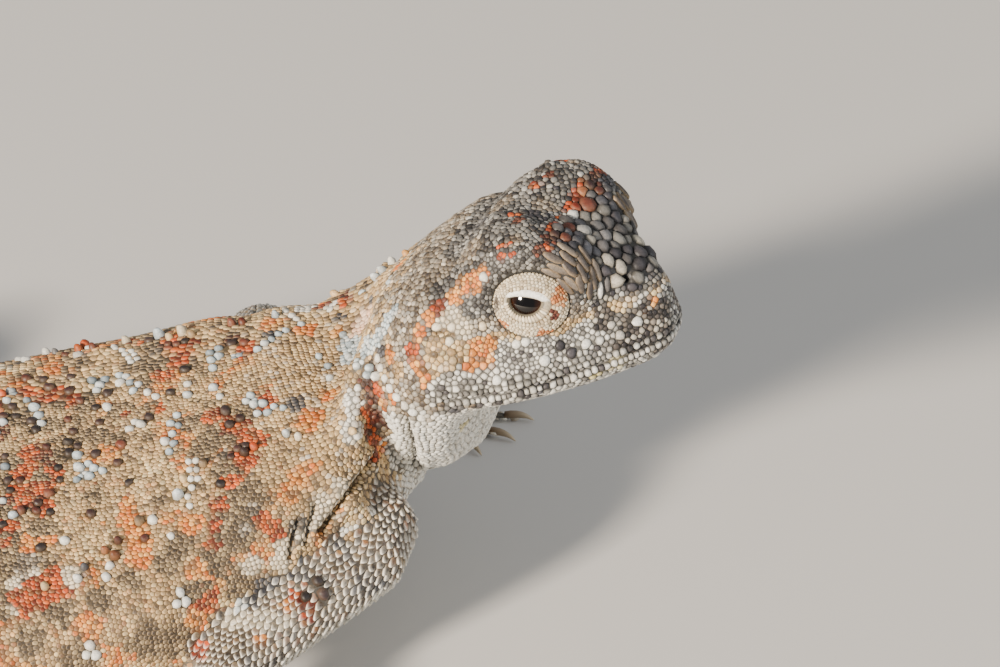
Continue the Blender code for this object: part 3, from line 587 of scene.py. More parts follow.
def lay_rows(name, parts, rays):
    """Places in rows across one line, on the skin of the given parts."""
    line = lines[name]
    ahead = np.gradient(line, axis=0)
    found = []
    travelled, odd = 0.0, 0
    while travelled < len(line) - 1.001:
        at = int(travelled)
        centre = Vector(line[at] + (line[at + 1] - line[at]) * (travelled - at))
        heading = Vector(ahead[at]).normalized()
        aside = Vector((0.0, 0.0, 1.0)).cross(heading).normalized()
        lift = heading.cross(aside)
        ring, sizes = [], []
        for k in range(rays + 1):
            angle = 2 * math.pi * k / rays
            out = lift * math.cos(angle) + aside * math.sin(angle)
            place, normal, _, _ = skin_tree.ray_cast(centre, out, RAY_LENGTH)
            part = part_at(place) if place is not None else None
            if part in parts:
                ring.append((place, normal, part))
                sizes.append(width_at(place, normal, part))
            else:
                ring.append(None)
                sizes.append(BLANK_WIDTH)
        count = 0.5 * (odd % 2)
        for (one, other), size in zip(zip(ring, ring[1:]), sizes):
            if one is None or other is None:
                continue
            length = (other[0] - one[0]).length
            if length > ROW_BREAK:
                continue
            after = count + length / size
            if int(after) > int(count):
                share = (int(after) - count) / (after - count)
                stray = Vector(draw.normal(0.0, STRAY, 3)) * size
                found.append((one[0].lerp(other[0], share) + stray,
                              one[1].lerp(other[1], share), one[2]))
            count = after
        odd += 1
        seen = [size for size, entry in zip(sizes, ring) if entry is not None]
        travelled += ROW_SHARE * (min(seen) if seen else BLANK_WIDTH) / LINE_STEP
    return found


def scatter(parts, each):
    """Random places on the skin of these parts, so many to a square millimetre."""
    mesh = skin.data
    mesh.calc_loop_triangles()
    corners = points_of(skin)
    triangles = np.empty(len(mesh.loop_triangles) * 3, dtype=int)
    mesh.loop_triangles.foreach_get("vertices", triangles)
    a, b, c = (corners[triangles.reshape(-1, 3)[:, i]] for i in range(3))
    cross = np.cross(b - a, c - a)
    area = np.linalg.norm(cross, axis=1) / 2
    number = int(area.sum() / MM ** 2 * each)
    chosen = draw.choice(len(area), size=number, p=area / area.sum())
    s, t = draw.random(number), draw.random(number)
    flip = s + t > 1
    s[flip], t[flip] = 1 - s[flip], 1 - t[flip]
    places = a[chosen] + (b - a)[chosen] * s[:, None] + (c - a)[chosen] * t[:, None]
    normals = cross[chosen] / (2 * area[chosen])[:, None]
    found = []
    for place, normal in zip(places, normals):
        part = part_at(place)
        if part in parts:
            found.append((Vector(place), Vector(normal), part))
    return found


class Settled:
    """The places already taken by scales."""

    cell = 0.25 * MM

    def __init__(self):
        self.cells = {}

    def free(self, place, width):
        """Whether a scale of this width clears all that are laid."""
        key = tuple(int(math.floor(value / self.cell)) for value in place)
        for x, y, z, other in self.cells.get(key, ()):
            gap = CLEARANCE * (width + other) / 2
            if (x - place[0]) ** 2 + (y - place[1]) ** 2 + (z - place[2]) ** 2 < gap * gap:
                return False
        return True

    def lay(self, place, width):
        """Mark a scale's place as taken."""
        reach = CLEARANCE * (2.4 * width + 0.1 * MM) / 2
        low = [int(math.floor((value - reach) / self.cell)) for value in place]
        high = [int(math.floor((value + reach) / self.cell)) for value in place]
        entry = (*place, width)
        for i in range(low[0], high[0] + 1):
            for j in range(low[1], high[1] + 1):
                for k in range(low[2], high[2] + 1):
                    self.cells.setdefault((i, j, k), []).append(entry)


settled = Settled()
scales = []                    # place, normal, part, width, special finish or None

# Eyelids
# Two soft lids meet in a slit. Its upper margin is thick and white, the lower one ends
# in a comb of small points, and beyond both the lids are finely grained.
OPENING = (24.5, 6.0, 20.5)        # half length, rise and fall, degrees of the eye
OPENING_RAISE = 4.0                # of the slit's ends over where the eye looks
LID_RINGS = (                      # share of the way to the outer edge, distance in mm
    (0.00, 1.93), (0.01, 2.06), (0.05, 2.20), (0.12, 2.27), (0.22, 2.29), (0.30, 2.27),
    (0.34, 2.24), (0.40, 2.31), (0.50, 2.36), (0.62, 2.40), (0.75, 2.42), (0.88, 2.42),
    (0.97, 2.40), (1.04, 2.33), (1.12, 2.16), (1.20, 1.95),
)
# Marks on the lids: pixel, half width and half height in pixels, mix
LID_MARKS = (
    (553, 316, 3.5, 5.0, "lid_dark"), (557, 299, 7.0, 11.0, "lid_orange"),
    (500, 325, 7.0, 4.5, "lid_orange"), (545, 334, 10.0, 4.5, "lid_orange"),
    (497, 305, 2.5, 8.0, "grey"), (540, 330, 3.0, 3.0, "net"),
)


def around_eye(axis, slit, across, above):
    """Direction so many degrees away from an axis, along the slit and above it."""
    along = (slit - axis * slit.dot(axis)).normalized()
    upward = axis.cross(along)
    upward = upward if upward.z > 0 else -upward
    across, above = math.radians(across), math.radians(above)
    far = math.hypot(across, above)
    if far < 1e-9:
        return axis.copy()
    return axis * math.cos(far) + (along * across + upward * above) * (math.sin(far) / far)


def lid_point(side, angle, share, radius):
    """A point of the lids of one eye."""
    centre, look, axis, slit = eyes[side]
    up = math.sin(angle)
    inner = around_eye(look, slit, OPENING[0] * math.cos(angle),
                       OPENING_RAISE + (OPENING[1] if up > 0 else OPENING[2]) * up)
    outer = around_eye(axis, slit, RIM[0] * math.cos(angle), RIM[1] * up)
    return centre + inner.lerp(outer, share).normalized() * radius


def lid_mix(spot):
    """The mix of a place on a lid, the same for both eyes."""
    local = to_head @ spot
    near = head_frame @ Vector((local.x, -abs(local.y), local.z))
    px = HEAD_PIXEL[0] + (near - HEAD_PLACE).dot(view_right) / MM * PIXELS_PER_MM
    py = HEAD_PIXEL[1] - (near - HEAD_PLACE).dot(view_up) / MM * PIXELS_PER_MM
    for x, y, wide, tall, mix in LID_MARKS:
        ragged = 1.0 + 0.25 * noise.noise(spot / (0.2 * MM))
        if math.hypot((px - x) / wide, (py - y) / tall) < ragged:
            return mix
    return "lid"


# Markings
# Sand and grey scales carry rust and orange blotches with maroon hearts, black single
# scales, and pale blue and white rows. What the photo shows is named by its pixels.
MIXES = {                      # colours (red, green, blue out of 255) and their shares
    "sand": ((190, 158, 112, 5), (166, 136, 96, 4), (210, 182, 134, 3), (100, 82, 64, 2)),
    "flank": ((203, 171, 122, 5), (180, 147, 102, 3), (220, 197, 150, 3), (98, 82, 66, 2)),
    "cream": ((226, 214, 190, 4), (210, 196, 168, 4), (192, 176, 148, 1)),
    "grey": ((138, 130, 118, 4), (100, 94, 88, 4), (176, 168, 154, 3), (62, 58, 58, 3)),
    "rust": ((184, 68, 20, 4), (206, 94, 34, 3), (112, 38, 20, 3), (130, 78, 50, 2)),
    "maroon": ((84, 42, 36, 4), (58, 36, 36, 3), (116, 60, 46, 2)),
    "orange": ((222, 134, 54, 4), (204, 102, 34, 3), (232, 166, 92, 3), (128, 88, 58, 2)),
    "ink": ((40, 34, 36, 3), (56, 44, 44, 2)),
    "ice": ((204, 218, 222, 4), (232, 238, 236, 3), (164, 178, 184, 2)),
    "chalk": ((244, 242, 232, 5), (228, 224, 212, 3), (190, 184, 172, 1)),
    "cheek": ((230, 226, 216, 4), (184, 180, 170, 4), (128, 124, 118, 3), (84, 80, 80, 1)),
    "snout": ((180, 173, 159, 3), (118, 109, 99, 4), (84, 77, 72, 4), (54, 50, 50, 3)),
    "crown": ((104, 103, 101, 4), (76, 76, 76, 4), (142, 139, 133, 4), (48, 48, 51, 3)),
    "fold": ((92, 84, 78, 4), (112, 103, 94, 3), (70, 64, 62, 3)),
    "slate": ((80, 80, 84, 3), (106, 104, 103, 3), (58, 57, 62, 2)),
    # stone: the forehead's plates, dark partly for their own slate tone and partly as painted shade
    # of a forehead turned from the light
    "stone": ((130, 126, 118, 4), (97, 93, 91, 4), (170, 162, 146, 2), (65, 62, 65, 3)),
    "peach": ((252, 218, 190, 3), (248, 202, 170, 2)),
    "lemon": ((212, 198, 140, 3), (228, 218, 178, 3), (196, 184, 150, 2)),
    "bark": ((204, 196, 180, 4), (160, 152, 140, 4), (122, 116, 108, 4), (86, 80, 76, 3)),
    "toe": ((214, 204, 184, 4), (190, 180, 160, 3)),
    "belly": ((236, 230, 214, 4), (224, 216, 198, 3)),
    "band": ((118, 100, 84, 3), (142, 120, 98, 3), (96, 82, 72, 2)),
    "net": ((88, 77, 66, 4), (64, 57, 54, 4), (122, 106, 86, 3), (182, 158, 120, 3)),
    "lid": ((242, 228, 198, 4), (226, 208, 174, 4), (196, 176, 144, 2)),
    "lid_orange": ((214, 142, 88, 3), (186, 108, 62, 3), (228, 180, 134, 2)),
    "lid_dark": ((84, 42, 34, 3), (120, 66, 48, 1)),
}
# How a scale of each mix is shaded: brightness of its middle and of its edge, and how
# much pale dust the edge has. A middle brighter than its edge is a painted highlight on
# the dome's top and a darkened edge is painted shade round its root; the dust is real.
PAINTED_DOME_LIGHT_AND_DUST = {
    "sand": (0.95, 0.80, 0.30), "flank": (0.97, 0.80, 0.30), "cream": (1.05, 0.75, 0.10),
    "grey": (0.95, 0.65, 0.15), "crown": (1.0, 0.55, 0.04), "rust": (0.92, 0.85, 0.10),
    "maroon": (0.95, 0.80, 0.08),
    "orange": (0.95, 0.85, 0.12), "ink": (1.0, 0.85, 0.05), "ice": (1.15, 0.60, 0.0),
    "chalk": (1.15, 0.84, 0.0), "cheek": (1.18, 0.30, 0.0), "slate": (1.0, 0.75, 0.02),
    "snout": (1.10, 0.45, 0.0), "fold": (0.95, 0.80, 0.34),
    "stone": (1.15, 0.40, 0.0), "peach": (1.08, 0.85, 0.0), "lemon": (1.08, 0.65, 0.0),
    "bark": (0.44, 0.50, 0.26), "toe": (1.0, 0.70, 0.10), "belly": (1.0, 0.80, 0.0),
    "band": (0.9, 0.8, 0.15), "net": (0.62, 0.55, 0.20), "lid": (1.05, 0.70, 0.0),
    "lid_orange": (1.05, 0.70, 0.0), "lid_dark": (1.0, 0.9, 0.0),
}
# Marks seen on the trunk, neck and arm: a mix, then pixel and radius in mm of each
TRUNK_MARKS = (
    ("rust", (50, 395, 1.1), (70, 400, 0.8), (28, 392, 0.7), (25, 470, 0.9), (18, 492, 0.8),
     (42, 488, 0.9), (30, 452, 0.7), (46, 508, 0.6)), ("maroon", (50, 388, 0.5), (45, 455, 0.55),
     (36, 448, 0.4), (53, 465, 0.5), (37, 507, 0.4)), ("rust", (246, 350, 0.8)),
    ("maroon", (232, 340, 0.6)), ("rust", (235, 425, 1.0), (252, 440, 0.9), (214, 414, 0.7),
     (242, 460, 0.9), (230, 480, 0.8), (220, 505, 0.6), (217, 526, 0.55), (214, 546, 0.55),
     (262, 520, 0.6), (276, 531, 0.6)), ("maroon", (240, 449, 0.5), (230, 456, 0.4),
     (218, 500, 0.3), (216, 520, 0.28)), ("orange", (132, 520, 0.8), (138, 540, 0.8),
     (140, 560, 0.7), (128, 504, 0.6), (190, 524, 0.8)), ("rust", (161, 408, 0.4)),
    ("orange", (300, 478, 0.7), (288, 494, 0.6), (312, 468, 0.5), (200, 572, 0.8)),
    ("rust", (206, 600, 0.9)), ("orange", (195, 622, 0.8)), ("rust", (200, 650, 0.7),
     (50, 588, 1.3), (20, 602, 1.0)), ("orange", (88, 625, 0.8)), ("maroon", (46, 590, 0.5)),
    ("grey", (250, 505, 0.8), (240, 530, 0.9), (225, 455, 0.5), (300, 530, 0.8)),
    ("orange", (310, 420, 0.9), (330, 395, 0.7)), ("flank", (330, 440, 0.9), (150, 470, 1.3),
     (175, 490, 1.0), (105, 545, 1.2)), ("ice", (258, 402, 0.5), (12, 394, 0.35), (98, 384, 0.4)),
    ("slate", (270, 335, 0.6)), ("ice", (350, 352, 0.45), (357, 364, 0.4), (346, 340, 0.35),
     (372, 344, 0.5), (384, 330, 0.45), (393, 312, 0.4)), ("peach", (365, 318, 0.85)),
    ("rust", (345, 300, 0.5)), ("grey", (352, 290, 0.4)), ("peach", (358, 330, 0.5)),
    ("ice", (350, 345, 0.75), (378, 336, 0.6), (388, 318, 0.45), (368, 346, 0.7)),
    ("orange", (338, 332, 0.4)), ("slate", (340, 318, 0.4), (372, 298, 0.35)),
    ("ice", (388, 282, 0.35)), ("maroon", (368, 382, 0.6), (372, 396, 0.6)),
    ("rust", (378, 390, 0.5)), ("maroon", (374, 410, 0.6)), ("orange", (382, 402, 0.5)),
    ("maroon", (381, 420, 0.6)), ("rust", (370, 424, 0.55), (374, 440, 0.6)),
    ("maroon", (368, 434, 0.45)), ("orange", (380, 448, 0.45)), ("rust", (374, 456, 0.4)),
    ("net", (384, 432, 0.6)), ("ink", (372, 368, 0.5)), ("net", (364, 372, 0.5)),
    ("slate", (381, 352, 0.4)), ("orange", (392, 396, 0.4)), ("chalk", (398, 440, 0.8),
     (396, 460, 0.7), (394, 424, 0.6), (352, 400, 0.7), (352, 430, 0.8), (440, 470, 1.4),
     (428, 450, 1.2), (424, 430, 1.0)), ("cream", (326, 510, 0.9), (302, 532, 0.7),
     (283, 548, 0.7), (315, 525, 0.5), (342, 486, 0.6)), ("slate", (262, 585, 0.6),
     (250, 600, 0.55)), ("ice", (240, 606, 0.4)), ("slate", (276, 580, 0.4)),
    ("rust", (300, 598, 0.55)), ("orange", (290, 606, 0.5)), ("rust", (313, 606, 0.4),
     (308, 618, 0.35)), ("orange", (262, 641, 0.4), (232, 641, 0.3)), ("cream", (250, 568, 0.7),
     (280, 563, 0.6), (235, 620, 0.8), (262, 618, 0.7), (286, 622, 0.5)), ("net", (215, 438, 1.2),
     (200, 455, 0.9), (228, 470, 1.0), (246, 500, 1.3), (234, 530, 1.4), (216, 560, 1.0),
     (242, 585, 1.0), (10, 512, 1.3), (42, 530, 1.0), (60, 612, 0.9), (100, 600, 0.8),
     (180, 545, 0.9), (168, 562, 0.8), (246, 412, 0.7), (180, 640, 1.2), (226, 650, 1.4),
     (190, 422, 0.8), (62, 402, 0.8), (20, 418, 1.0), (86, 405, 0.7), (150, 640, 1.2),
     (200, 590, 0.9), (120, 410, 0.8), (100, 435, 0.7), (40, 425, 0.9), (130, 580, 0.7),
     (10, 560, 0.8), (80, 660, 1.0), (30, 640, 0.9), (160, 500, 0.5)),
)
# Marks seen on the head
HEAD_MARKS = (
    ("orange", (470, 283, 0.7), (482, 273, 0.5), (455, 296, 0.6)), ("rust", (440, 308, 0.5)),
    ("orange", (430, 318, 0.5), (419, 334, 0.5)), ("rust", (413, 352, 0.5)),
    ("orange", (418, 368, 0.45), (425, 380, 0.4), (478, 348, 0.6), (486, 360, 0.45),
     (470, 366, 0.4), (491, 343, 0.4)), ("rust", (582, 184, 0.4), (577, 195, 0.45),
     (572, 208, 0.5), (560, 218, 0.3), (534, 187, 0.4)), ("maroon", (550, 176, 0.4),
     (596, 188, 0.5)), ("rust", (501, 245, 0.28), (501, 257, 0.28), (510, 243, 0.25),
     (511, 255, 0.25)), ("maroon", (538, 250, 0.35)), ("rust", (549, 248, 0.35)),
    ("slate", (566, 232, 0.5), (576, 222, 0.5), (578, 240, 0.45)), ("cream", (449, 320, 0.8)),
    ("flank", (444, 340, 0.8)), ("cream", (462, 330, 0.7)), ("flank", (460, 350, 0.6)),
    ("grey", (500, 205, 0.9)), ("slate", (480, 225, 0.7)), ("grey", (470, 250, 1.0)),
    ("rust", (436, 229, 0.4)), ("orange", (400, 265, 0.5)), ("grey", (425, 250, 0.5)),
    ("snout", (640, 330, 1.3), (655, 318, 1.2), (628, 345, 1.0), (605, 318, 0.7),
     (662, 340, 0.9)), ("slate", (560, 248, 0.7)), ("maroon", (588, 205, 0.5), (594, 176, 0.5)),
    ("grey", (545, 205, 0.7)), ("slate", (615, 212, 0.6), (600, 232, 0.6)),
    ("stone", (622, 250, 0.5)), ("grey", (440, 270, 0.9)), ("orange", (654, 303, 0.4),
     (648, 312, 0.3)), ("lemon", (620, 361, 0.5), (610, 367, 0.4), (595, 374, 0.4)),
    ("slate", (455, 409, 0.5)), ("grey", (470, 406, 0.4), (440, 408, 0.4)),
    ("slate", (540, 388, 0.4), (526, 393, 0.4), (556, 379, 0.3)), ("orange", (390, 355, 0.5)),
    ("sand", (398, 372, 0.5)), ("lemon", (463, 425, 0.4)), ("grey", (515, 240, 0.5)),
    ("stone", (540, 215, 0.7)),
)


def one_by_one(table):
    """The entries of a table, each with the mix that it stands under."""
    return [(*spot, mix) for mix, *spots in table for spot in spots]


def seen(px, py):
    """Place and normal on the skin at a pixel of the photo, or None where it misses."""
    place, normal = sight(skin_tree, px, py)
    return (place, normal) if place is not None else None


def far_side(place):
    """A place's like on the other side of the head."""
    local = to_head @ place
    return head_frame @ Vector((local.x, -local.y, local.z))


def across_spine(place):
    """A place's like on the other side of the spine."""
    line = lines["spine"]
    at = min(int(((line - np.array(place)) ** 2).sum(axis=1).argmin()), len(line) - 2)
    aside = Vector(line[at + 1] - line[at]).cross(Vector((0.0, 0.0, 1.0))).normalized()
    return place - 2 * aside * (place - Vector(line[at])).dot(aside)


marks = []                     # place, radius, mix


def add_mark(place, radius, mix):
    """One mark, moved onto the skin."""
    marks.append((skin_tree.find_nearest(place)[0], radius, mix))


# The far side repeats the near one, and the marks behind the shoulders are repeated
# down the back, thinned and moved a little each time.
BACK_STEPS = (-13.5, -26.0, -36.0)     # in mm
REPEATED = 0.75                        # share of the marks that a step repeats
for px, py, radius, mix in one_by_one(TRUNK_MARKS):
    hit = seen(px, py)
    if hit is None:
        continue
    place = hit[0]
    add_mark(place, radius * MM, mix)
    part = part_at(place)
    if part == "neck":
        add_mark(across_spine(place), radius * MM, mix)
    if part == "torso":
        add_mark(Vector((place.x - 2 * MM, -place.y, place.z)), radius * MM, mix)
        for step in BACK_STEPS:
            for side in (1, -1):
                if draw.random() < REPEATED:
                    moved = Vector((place.x + (step + draw.uniform(-1.5, 1.5)) * MM,
                                    side * place.y * 0.93 + draw.uniform(-1, 1) * MM,
                                    place.z - 2 * MM))
                    if moved.x > -20 * MM:
                        add_mark(moved, radius * MM * draw.uniform(0.8, 1.2), mix)
for px, py, radius, mix in one_by_one(HEAD_MARKS):
    hit = seen(px, py)
    if hit is not None:
        add_mark(hit[0], radius * MM, mix)
        if abs((to_head @ hit[0]).y) > 0.8 * MM:
            add_mark(far_side(hit[0]), radius * MM, mix)
mark_tree = tree_of([place for place, _, _ in marks])

# Dark bands across tail and limbs: line, distances along it in mm, width in mm
BANDS = {"spine": ((8, 17, 27, 38, 49, 60), 3.2), "arm": ((6, 12.5, 19), 2.0),
         "leg": ((7, 15, 22, 29), 2.2)}
line_marks = [(name, k * LINE_STEP) for name in lines for k in range(len(lines[name]))]
line_tree = tree_of(np.concatenate([lines[name] for name in lines]))


def smooth_share(value, low, high):
    """0 below low, 1 above high, and smooth between."""
    t = max(0.0, min(1.0, (value - low) / (high - low)))
    return t * t * (3 - 2 * t)


def band_share(place, part):
    """How far a place lies inside a dark band."""
    if not part.startswith("tail") and not part.endswith(("forearm", "thigh", "shin")):
        return 0.0
    name, far = line_marks[line_tree.find(place)[1]]
    middles, wide = BANDS[name.split("_")[-1]]
    off = min(abs(far / MM - middle) for middle in middles)
    off += 0.8 * noise.noise(Vector(place) / (0.9 * MM))
    return smooth_share(-off, -0.62 * wide, -0.30 * wide)


def ground_mix(place, normal, part):
    """The mix that a place has outside its marks."""
    wave = noise.noise(Vector(place) / (1.1 * MM))
    if part == "head":
        x, y, z = (to_head @ Vector(place)) / MM
        if z < 0.2:
            return "chalk"
        if z < 4.2 + wave and x > 0.5 and z < 0.45 * x + 1.2:
            return "cheek"
        # the forehead's stone plates, darker partly as painted shade
        if x > 9.0 and z > 4.8 and abs(y) < 3.6:
            return "stone"
        if z > 5.6 + wave:
            return "crown"
        return "grey" if z > 4.6 or x < 2 else "flank"
    if normal[2] < -0.4:
        return "belly"
    if part.endswith(("hand", "foot")):
        return "toe"
    if part.endswith(("upper_arm", "forearm")):
        return "bark"
    return "flank" if normal[2] < 0.35 else "sand"


def mixes_at(place, normal, part):
    """The ground's mix, then each mix that lies over it and how strongly."""
    found = [(ground_mix(place, normal, part), 1.0)]
    if part in ("head", "neck"):       # the head's grey and the throat's white run out here
        x, _, z = (to_head @ Vector(place)) / MM
        wave = noise.noise(Vector(place) / (0.8 * MM))
        if z > 0 and x < 3:
            found.append(("sand", 1.0))
            found.append(("grey", 0.95 * smooth_share(x + 1.8 * wave, -3.0, 2.2)))
        low = 0.2 - z if part == "head" else 9.5 - place[2] / MM
        found.append(("chalk", smooth_share(low + 1.2 * wave, -1.2, 1.0)))
    if part not in ("head", "neck") and normal[2] > -0.3:
        blush = noise.noise(Vector(place) / (2.0 * MM) + Vector((7.0, 0.0, 0.0)))
        is_low = part.endswith(("arm", "hand", "shin", "foot"))
        found.append(("orange", (0.15 if is_low else 0.80) * smooth_share(blush, 0.05, 0.45)))
        found.append(("slate", (0.6 if is_low else 0.0) * smooth_share(-blush, 0.05, 0.35)))
        found.append(("band", 0.8 * band_share(place, part)))
        dark = noise.noise(Vector(place) / (1.5 * MM) + Vector((0.0, 9.0, 0.0)))
        found.append(("net", 0.85 * smooth_share(dark, 0.14, 0.55)))
    wobble = 0.30 * noise.noise(Vector(place) / (0.55 * MM))
    near = []
    for _, index, far in mark_tree.find_range(place, 1.9 * MM):
        held = 1.0 - far / marks[index][1] + wobble
        if held > -0.15:
            near.append((held, marks[index][2]))
    near.sort()
    found += [(mix, smooth_share(held, -0.12, 0.25)) for held, mix in near[-3:]]
    return found

# Large single scales
# Round tubercles stand among the small scales, black ones alone, pale ones in rows.
# The far side has their like. A ^ marks the tall ones in the outline of back and nape.
# Each line has a mix, then pixel and width in mm of each scale
LONE_SCALES = (
    ("ink", (108, 394, 0.66), (171, 393, 0.64), (226, 411, 0.7), (68, 443, 0.64),
     (69, 453, 0.62)), ("maroon", (121, 445, 0.6), (118, 463, 0.62)), ("ink", (129, 483, 0.56)),
    ("maroon", (91, 514, 0.66), (100, 423, 0.58)), ("ink", (96, 408, 0.52)),
    ("maroon", (68, 420, 0.56)), ("ink", (221, 484, 0.58), (5, 457, 0.5), (8, 481, 0.56),
     (10, 491, 0.54), (60, 480, 0.52), (58, 468, 0.5), (3, 525, 0.5), (41, 548, 0.62),
     (34, 545, 0.5)), ("maroon", (145, 538, 0.54), (38, 503, 0.56), (37, 511, 0.54),
     (50, 388, 0.7)), ("ink", (44, 380, 0.55), (232, 344, 0.6)), ("maroon", (245, 343, 0.6),
     (238, 449, 0.5)), ("ink", (246, 446, 0.5)), ("maroon", (231, 457, 0.46)),
    ("ice", (76, 446, 0.6), (78, 456, 0.62), (79, 468, 0.72), (77, 480, 0.46), (11, 392, 0.6),
     (7, 401, 0.5), (92, 381, 0.56), (100, 386, 0.6), (106, 380, 0.56), (97, 391, 0.5)),
    ("chalk", (141, 425, 0.66), (148, 393, 0.56), (156, 397, 0.5)), ("ice", (214, 388, 0.66)),
    ("chalk", (220, 397, 0.5)), ("ice", (177, 416, 0.5), (171, 424, 0.52), (179, 426, 0.46),
     (173, 434, 0.5)), ("chalk", (165, 442, 0.6)), ("ice", (174, 444, 0.5), (170, 452, 0.5)),
    ("chalk", (189, 462, 0.4), (196, 461, 0.4), (190, 470, 0.4), (197, 470, 0.4),
     (191, 479, 0.42), (198, 479, 0.4), (192, 488, 0.4), (188, 497, 0.4), (190, 506, 0.4)),
    ("ice", (251, 396, 0.56), (259, 394, 0.6), (254, 405, 0.62), (263, 404, 0.6), (258, 414, 0.5),
     (268, 413, 0.5)), ("chalk", (65, 541, 0.6), (153, 520, 0.62), (171, 536, 0.46),
     (110, 566, 0.6), (106, 577, 0.6), (114, 576, 0.5), (180, 592, 0.6), (186, 602, 0.6),
     (177, 604, 0.56), (90, 645, 0.66), (96, 655, 0.6), (86, 655, 0.56)),
    ("ink", (318, 581, 0.66), (323, 594, 0.74), (305, 597, 0.6)), ("ice", (258, 350, 0.5),
     (265, 344, 0.5), (272, 340, 0.46), (279, 335, 0.46), (286, 331, 0.46), (344, 335, 0.5),
     (350, 345, 0.5), (349, 357, 0.5), (357, 366, 0.46)), ("^chalk", (392, 264, 0.5)),
    ("^ice", (384, 272, 0.52), (399, 259, 0.46), (377, 278, 0.48)), ("chalk", (392, 426, 0.52),
     (395, 436, 0.54), (398, 446, 0.54), (399, 456, 0.5), (401, 465, 0.46), (390, 417, 0.44),
     (358, 388, 0.44), (357, 400, 0.46), (356, 412, 0.46), (355, 424, 0.46), (357, 436, 0.44)),
    ("^ice", (160, 337, 0.64)), ("^sand", (170, 339, 0.46)), ("^cream", (183, 334, 0.66)),
    ("^sand", (192, 336, 0.5)), ("^cream", (127, 343, 0.52)), ("^sand", (118, 346, 0.56)),
    ("^rust", (86, 348, 0.6), (79, 351, 0.5)), ("^maroon", (93, 349, 0.46)),
    ("^chalk", (47, 355, 0.5)), ("^slate", (56, 354, 0.42)), ("^sand", (16, 362, 0.5)),
    ("^maroon", (232, 325, 0.5)), ("^rust", (243, 324, 0.46)), ("^ice", (276, 317, 0.46)),
    ("^cream", (285, 313, 0.46), (321, 303, 0.44)), ("^sand", (336, 295, 0.44)),
    ("^slate", (350, 286, 0.42)), ("^orange", (407, 255, 0.4)), ("^cream", (366, 278, 0.42)),
    ("^rust", (420, 238, 0.4), (435, 225, 0.42)), ("^crown", (445, 216, 0.4)),
)
HEAD_SCALES = (
    ("chalk", (378, 358, 0.5), (381, 368, 0.52), (385, 378, 0.52), (390, 388, 0.54),
     (397, 397, 0.54), (405, 405, 0.54), (413, 412, 0.52), (422, 418, 0.5), (432, 423, 0.46)),
    ("cream", (450, 341, 0.6), (437, 327, 0.56), (452, 327, 0.5)), ("chalk", (516, 344, 0.54),
     (526, 342, 0.5)), ("cream", (483, 326, 0.5)), ("chalk", (484, 277, 0.6), (545, 360, 0.66)),
    ("stone", (556, 371, 0.5)), ("chalk", (586, 344, 0.6), (620, 335, 0.66), (637, 322, 0.6),
     (585, 352, 0.6)), ("stone", (571, 353, 0.66), (560, 345, 0.6)), ("chalk", (611, 325, 0.5)),
    ("cheek", (600, 340, 0.54)), ("chalk", (497, 380, 0.6)),
)


def settle(place, normal, width, finish):
    """Lay one scale if its place is free and outside the lids."""
    if (least_lid_share(place) < 1.02 or nostril_share(place) < 1.9
            or fold_at(place)[0] < 0.55):
        return
    if settled.free(place, width):
        settled.lay(place, width)
        scales.append((place, normal, part_at(place), width, finish))


def settle_near(place, width, finish):
    """Lay one scale where the skin is nearest to a place."""
    near, normal, _, _ = skin_tree.find_nearest(place)
    settle(near, normal, width, finish)


# Scales longer than wide: those that fold over each other before the eye, and the
# nasal scale. Pixel, length and width in mm, fall against the picture in degrees, mix
LONG_SCALES = (
    (620, 267, 0.95, 0.72, 70, "stone"), (632, 287, 0.62, 0.50, 10, "stone"),
    (600, 290, 1.00, 0.36, 78, "cheek"), (607, 284, 0.90, 0.36, 80, "stone"),
)
# The folded scales stand in rows round the front of the eye: distance of each row from
# the lids' middle in pixels, and the angles in degrees where it starts and ends
FOLDED_STEP = 19.0             # pixels from one scale of a row to the next
FOLDED_ROWS = ((42, 60, 24), (49, 66, 18), (56, 66, 16), (63, 62, 18), (70, 58, 22),
               (77, 52, 28))
LIP_WIDTH = 0.46 * MM
EDGE_FALL = 42                 # a folded scale that falls less has no like on the far side
LIP_RAISE = 0.27               # from the line of the mouth to the middle of a lip's scale


long_ones = []                 # place, normal, direction, length, width, mix


def add_long(place, normal, run, length, width, mix):
    """A long scale, and the places that it takes."""
    run = (run - normal * run.dot(normal)).normalized()
    long_ones.append((place, normal, run, length, width, mix))
    steps = max(1, round((length - width) / (0.45 * width)))
    for k in range(steps + 1):
        spot = place + run * (length - width) * (k / steps - 0.5)
        settled.lay(spot, width)
        scales.append((spot, normal, "head", width, "="))


long_table = list(LONG_SCALES)
for row, (radius, first, last) in enumerate(FOLDED_ROWS):
    step = math.degrees(FOLDED_STEP / radius)
    for angle in np.arange(first - 0.5 * step * (row % 2), last, -step):
        px = RIM_PIXEL[0] + radius * math.cos(math.radians(angle))
        py = RIM_PIXEL[1] - radius * math.sin(math.radians(angle))
        long_table.append((px, py, 1.30 * draw.uniform(0.9, 1.1), 0.45, 90 - angle, "fold"))
for px, py, length, width, fall, mix in long_table:
    hit = seen(px, py)
    if hit is None:
        continue
    angle = math.radians(fall)
    run = view_right * math.cos(angle) - view_up * math.sin(angle)
    add_long(hit[0], hit[1], run, length * MM, width * MM, mix)
    if mix == "fold" and fall < EDGE_FALL:     # it would stand up there as an edge
        continue
    place, normal, _, _ = skin_tree.find_nearest(far_side(hit[0]))
    add_long(place, normal, mirrored(run), length * MM, width * MM, mix)

# The comb of the lower lid: small points that stand up over its edge
for side in eyes:
    centre, look = eyes[side][:2]
    for angle in np.radians(np.arange(196.0, 345.0, 9.0)):
        root = lid_point(side, angle, 0.26, 2.29 * MM)
        tip = lid_point(side, angle, 0.03, 2.2 * MM)
        long_ones.append(((root + tip) / 2, ((root + tip) / 2 - centre).normalized(),
                          (tip - root).normalized(), (tip - root).length * 1.25,
                          0.17 * MM, "lid"))

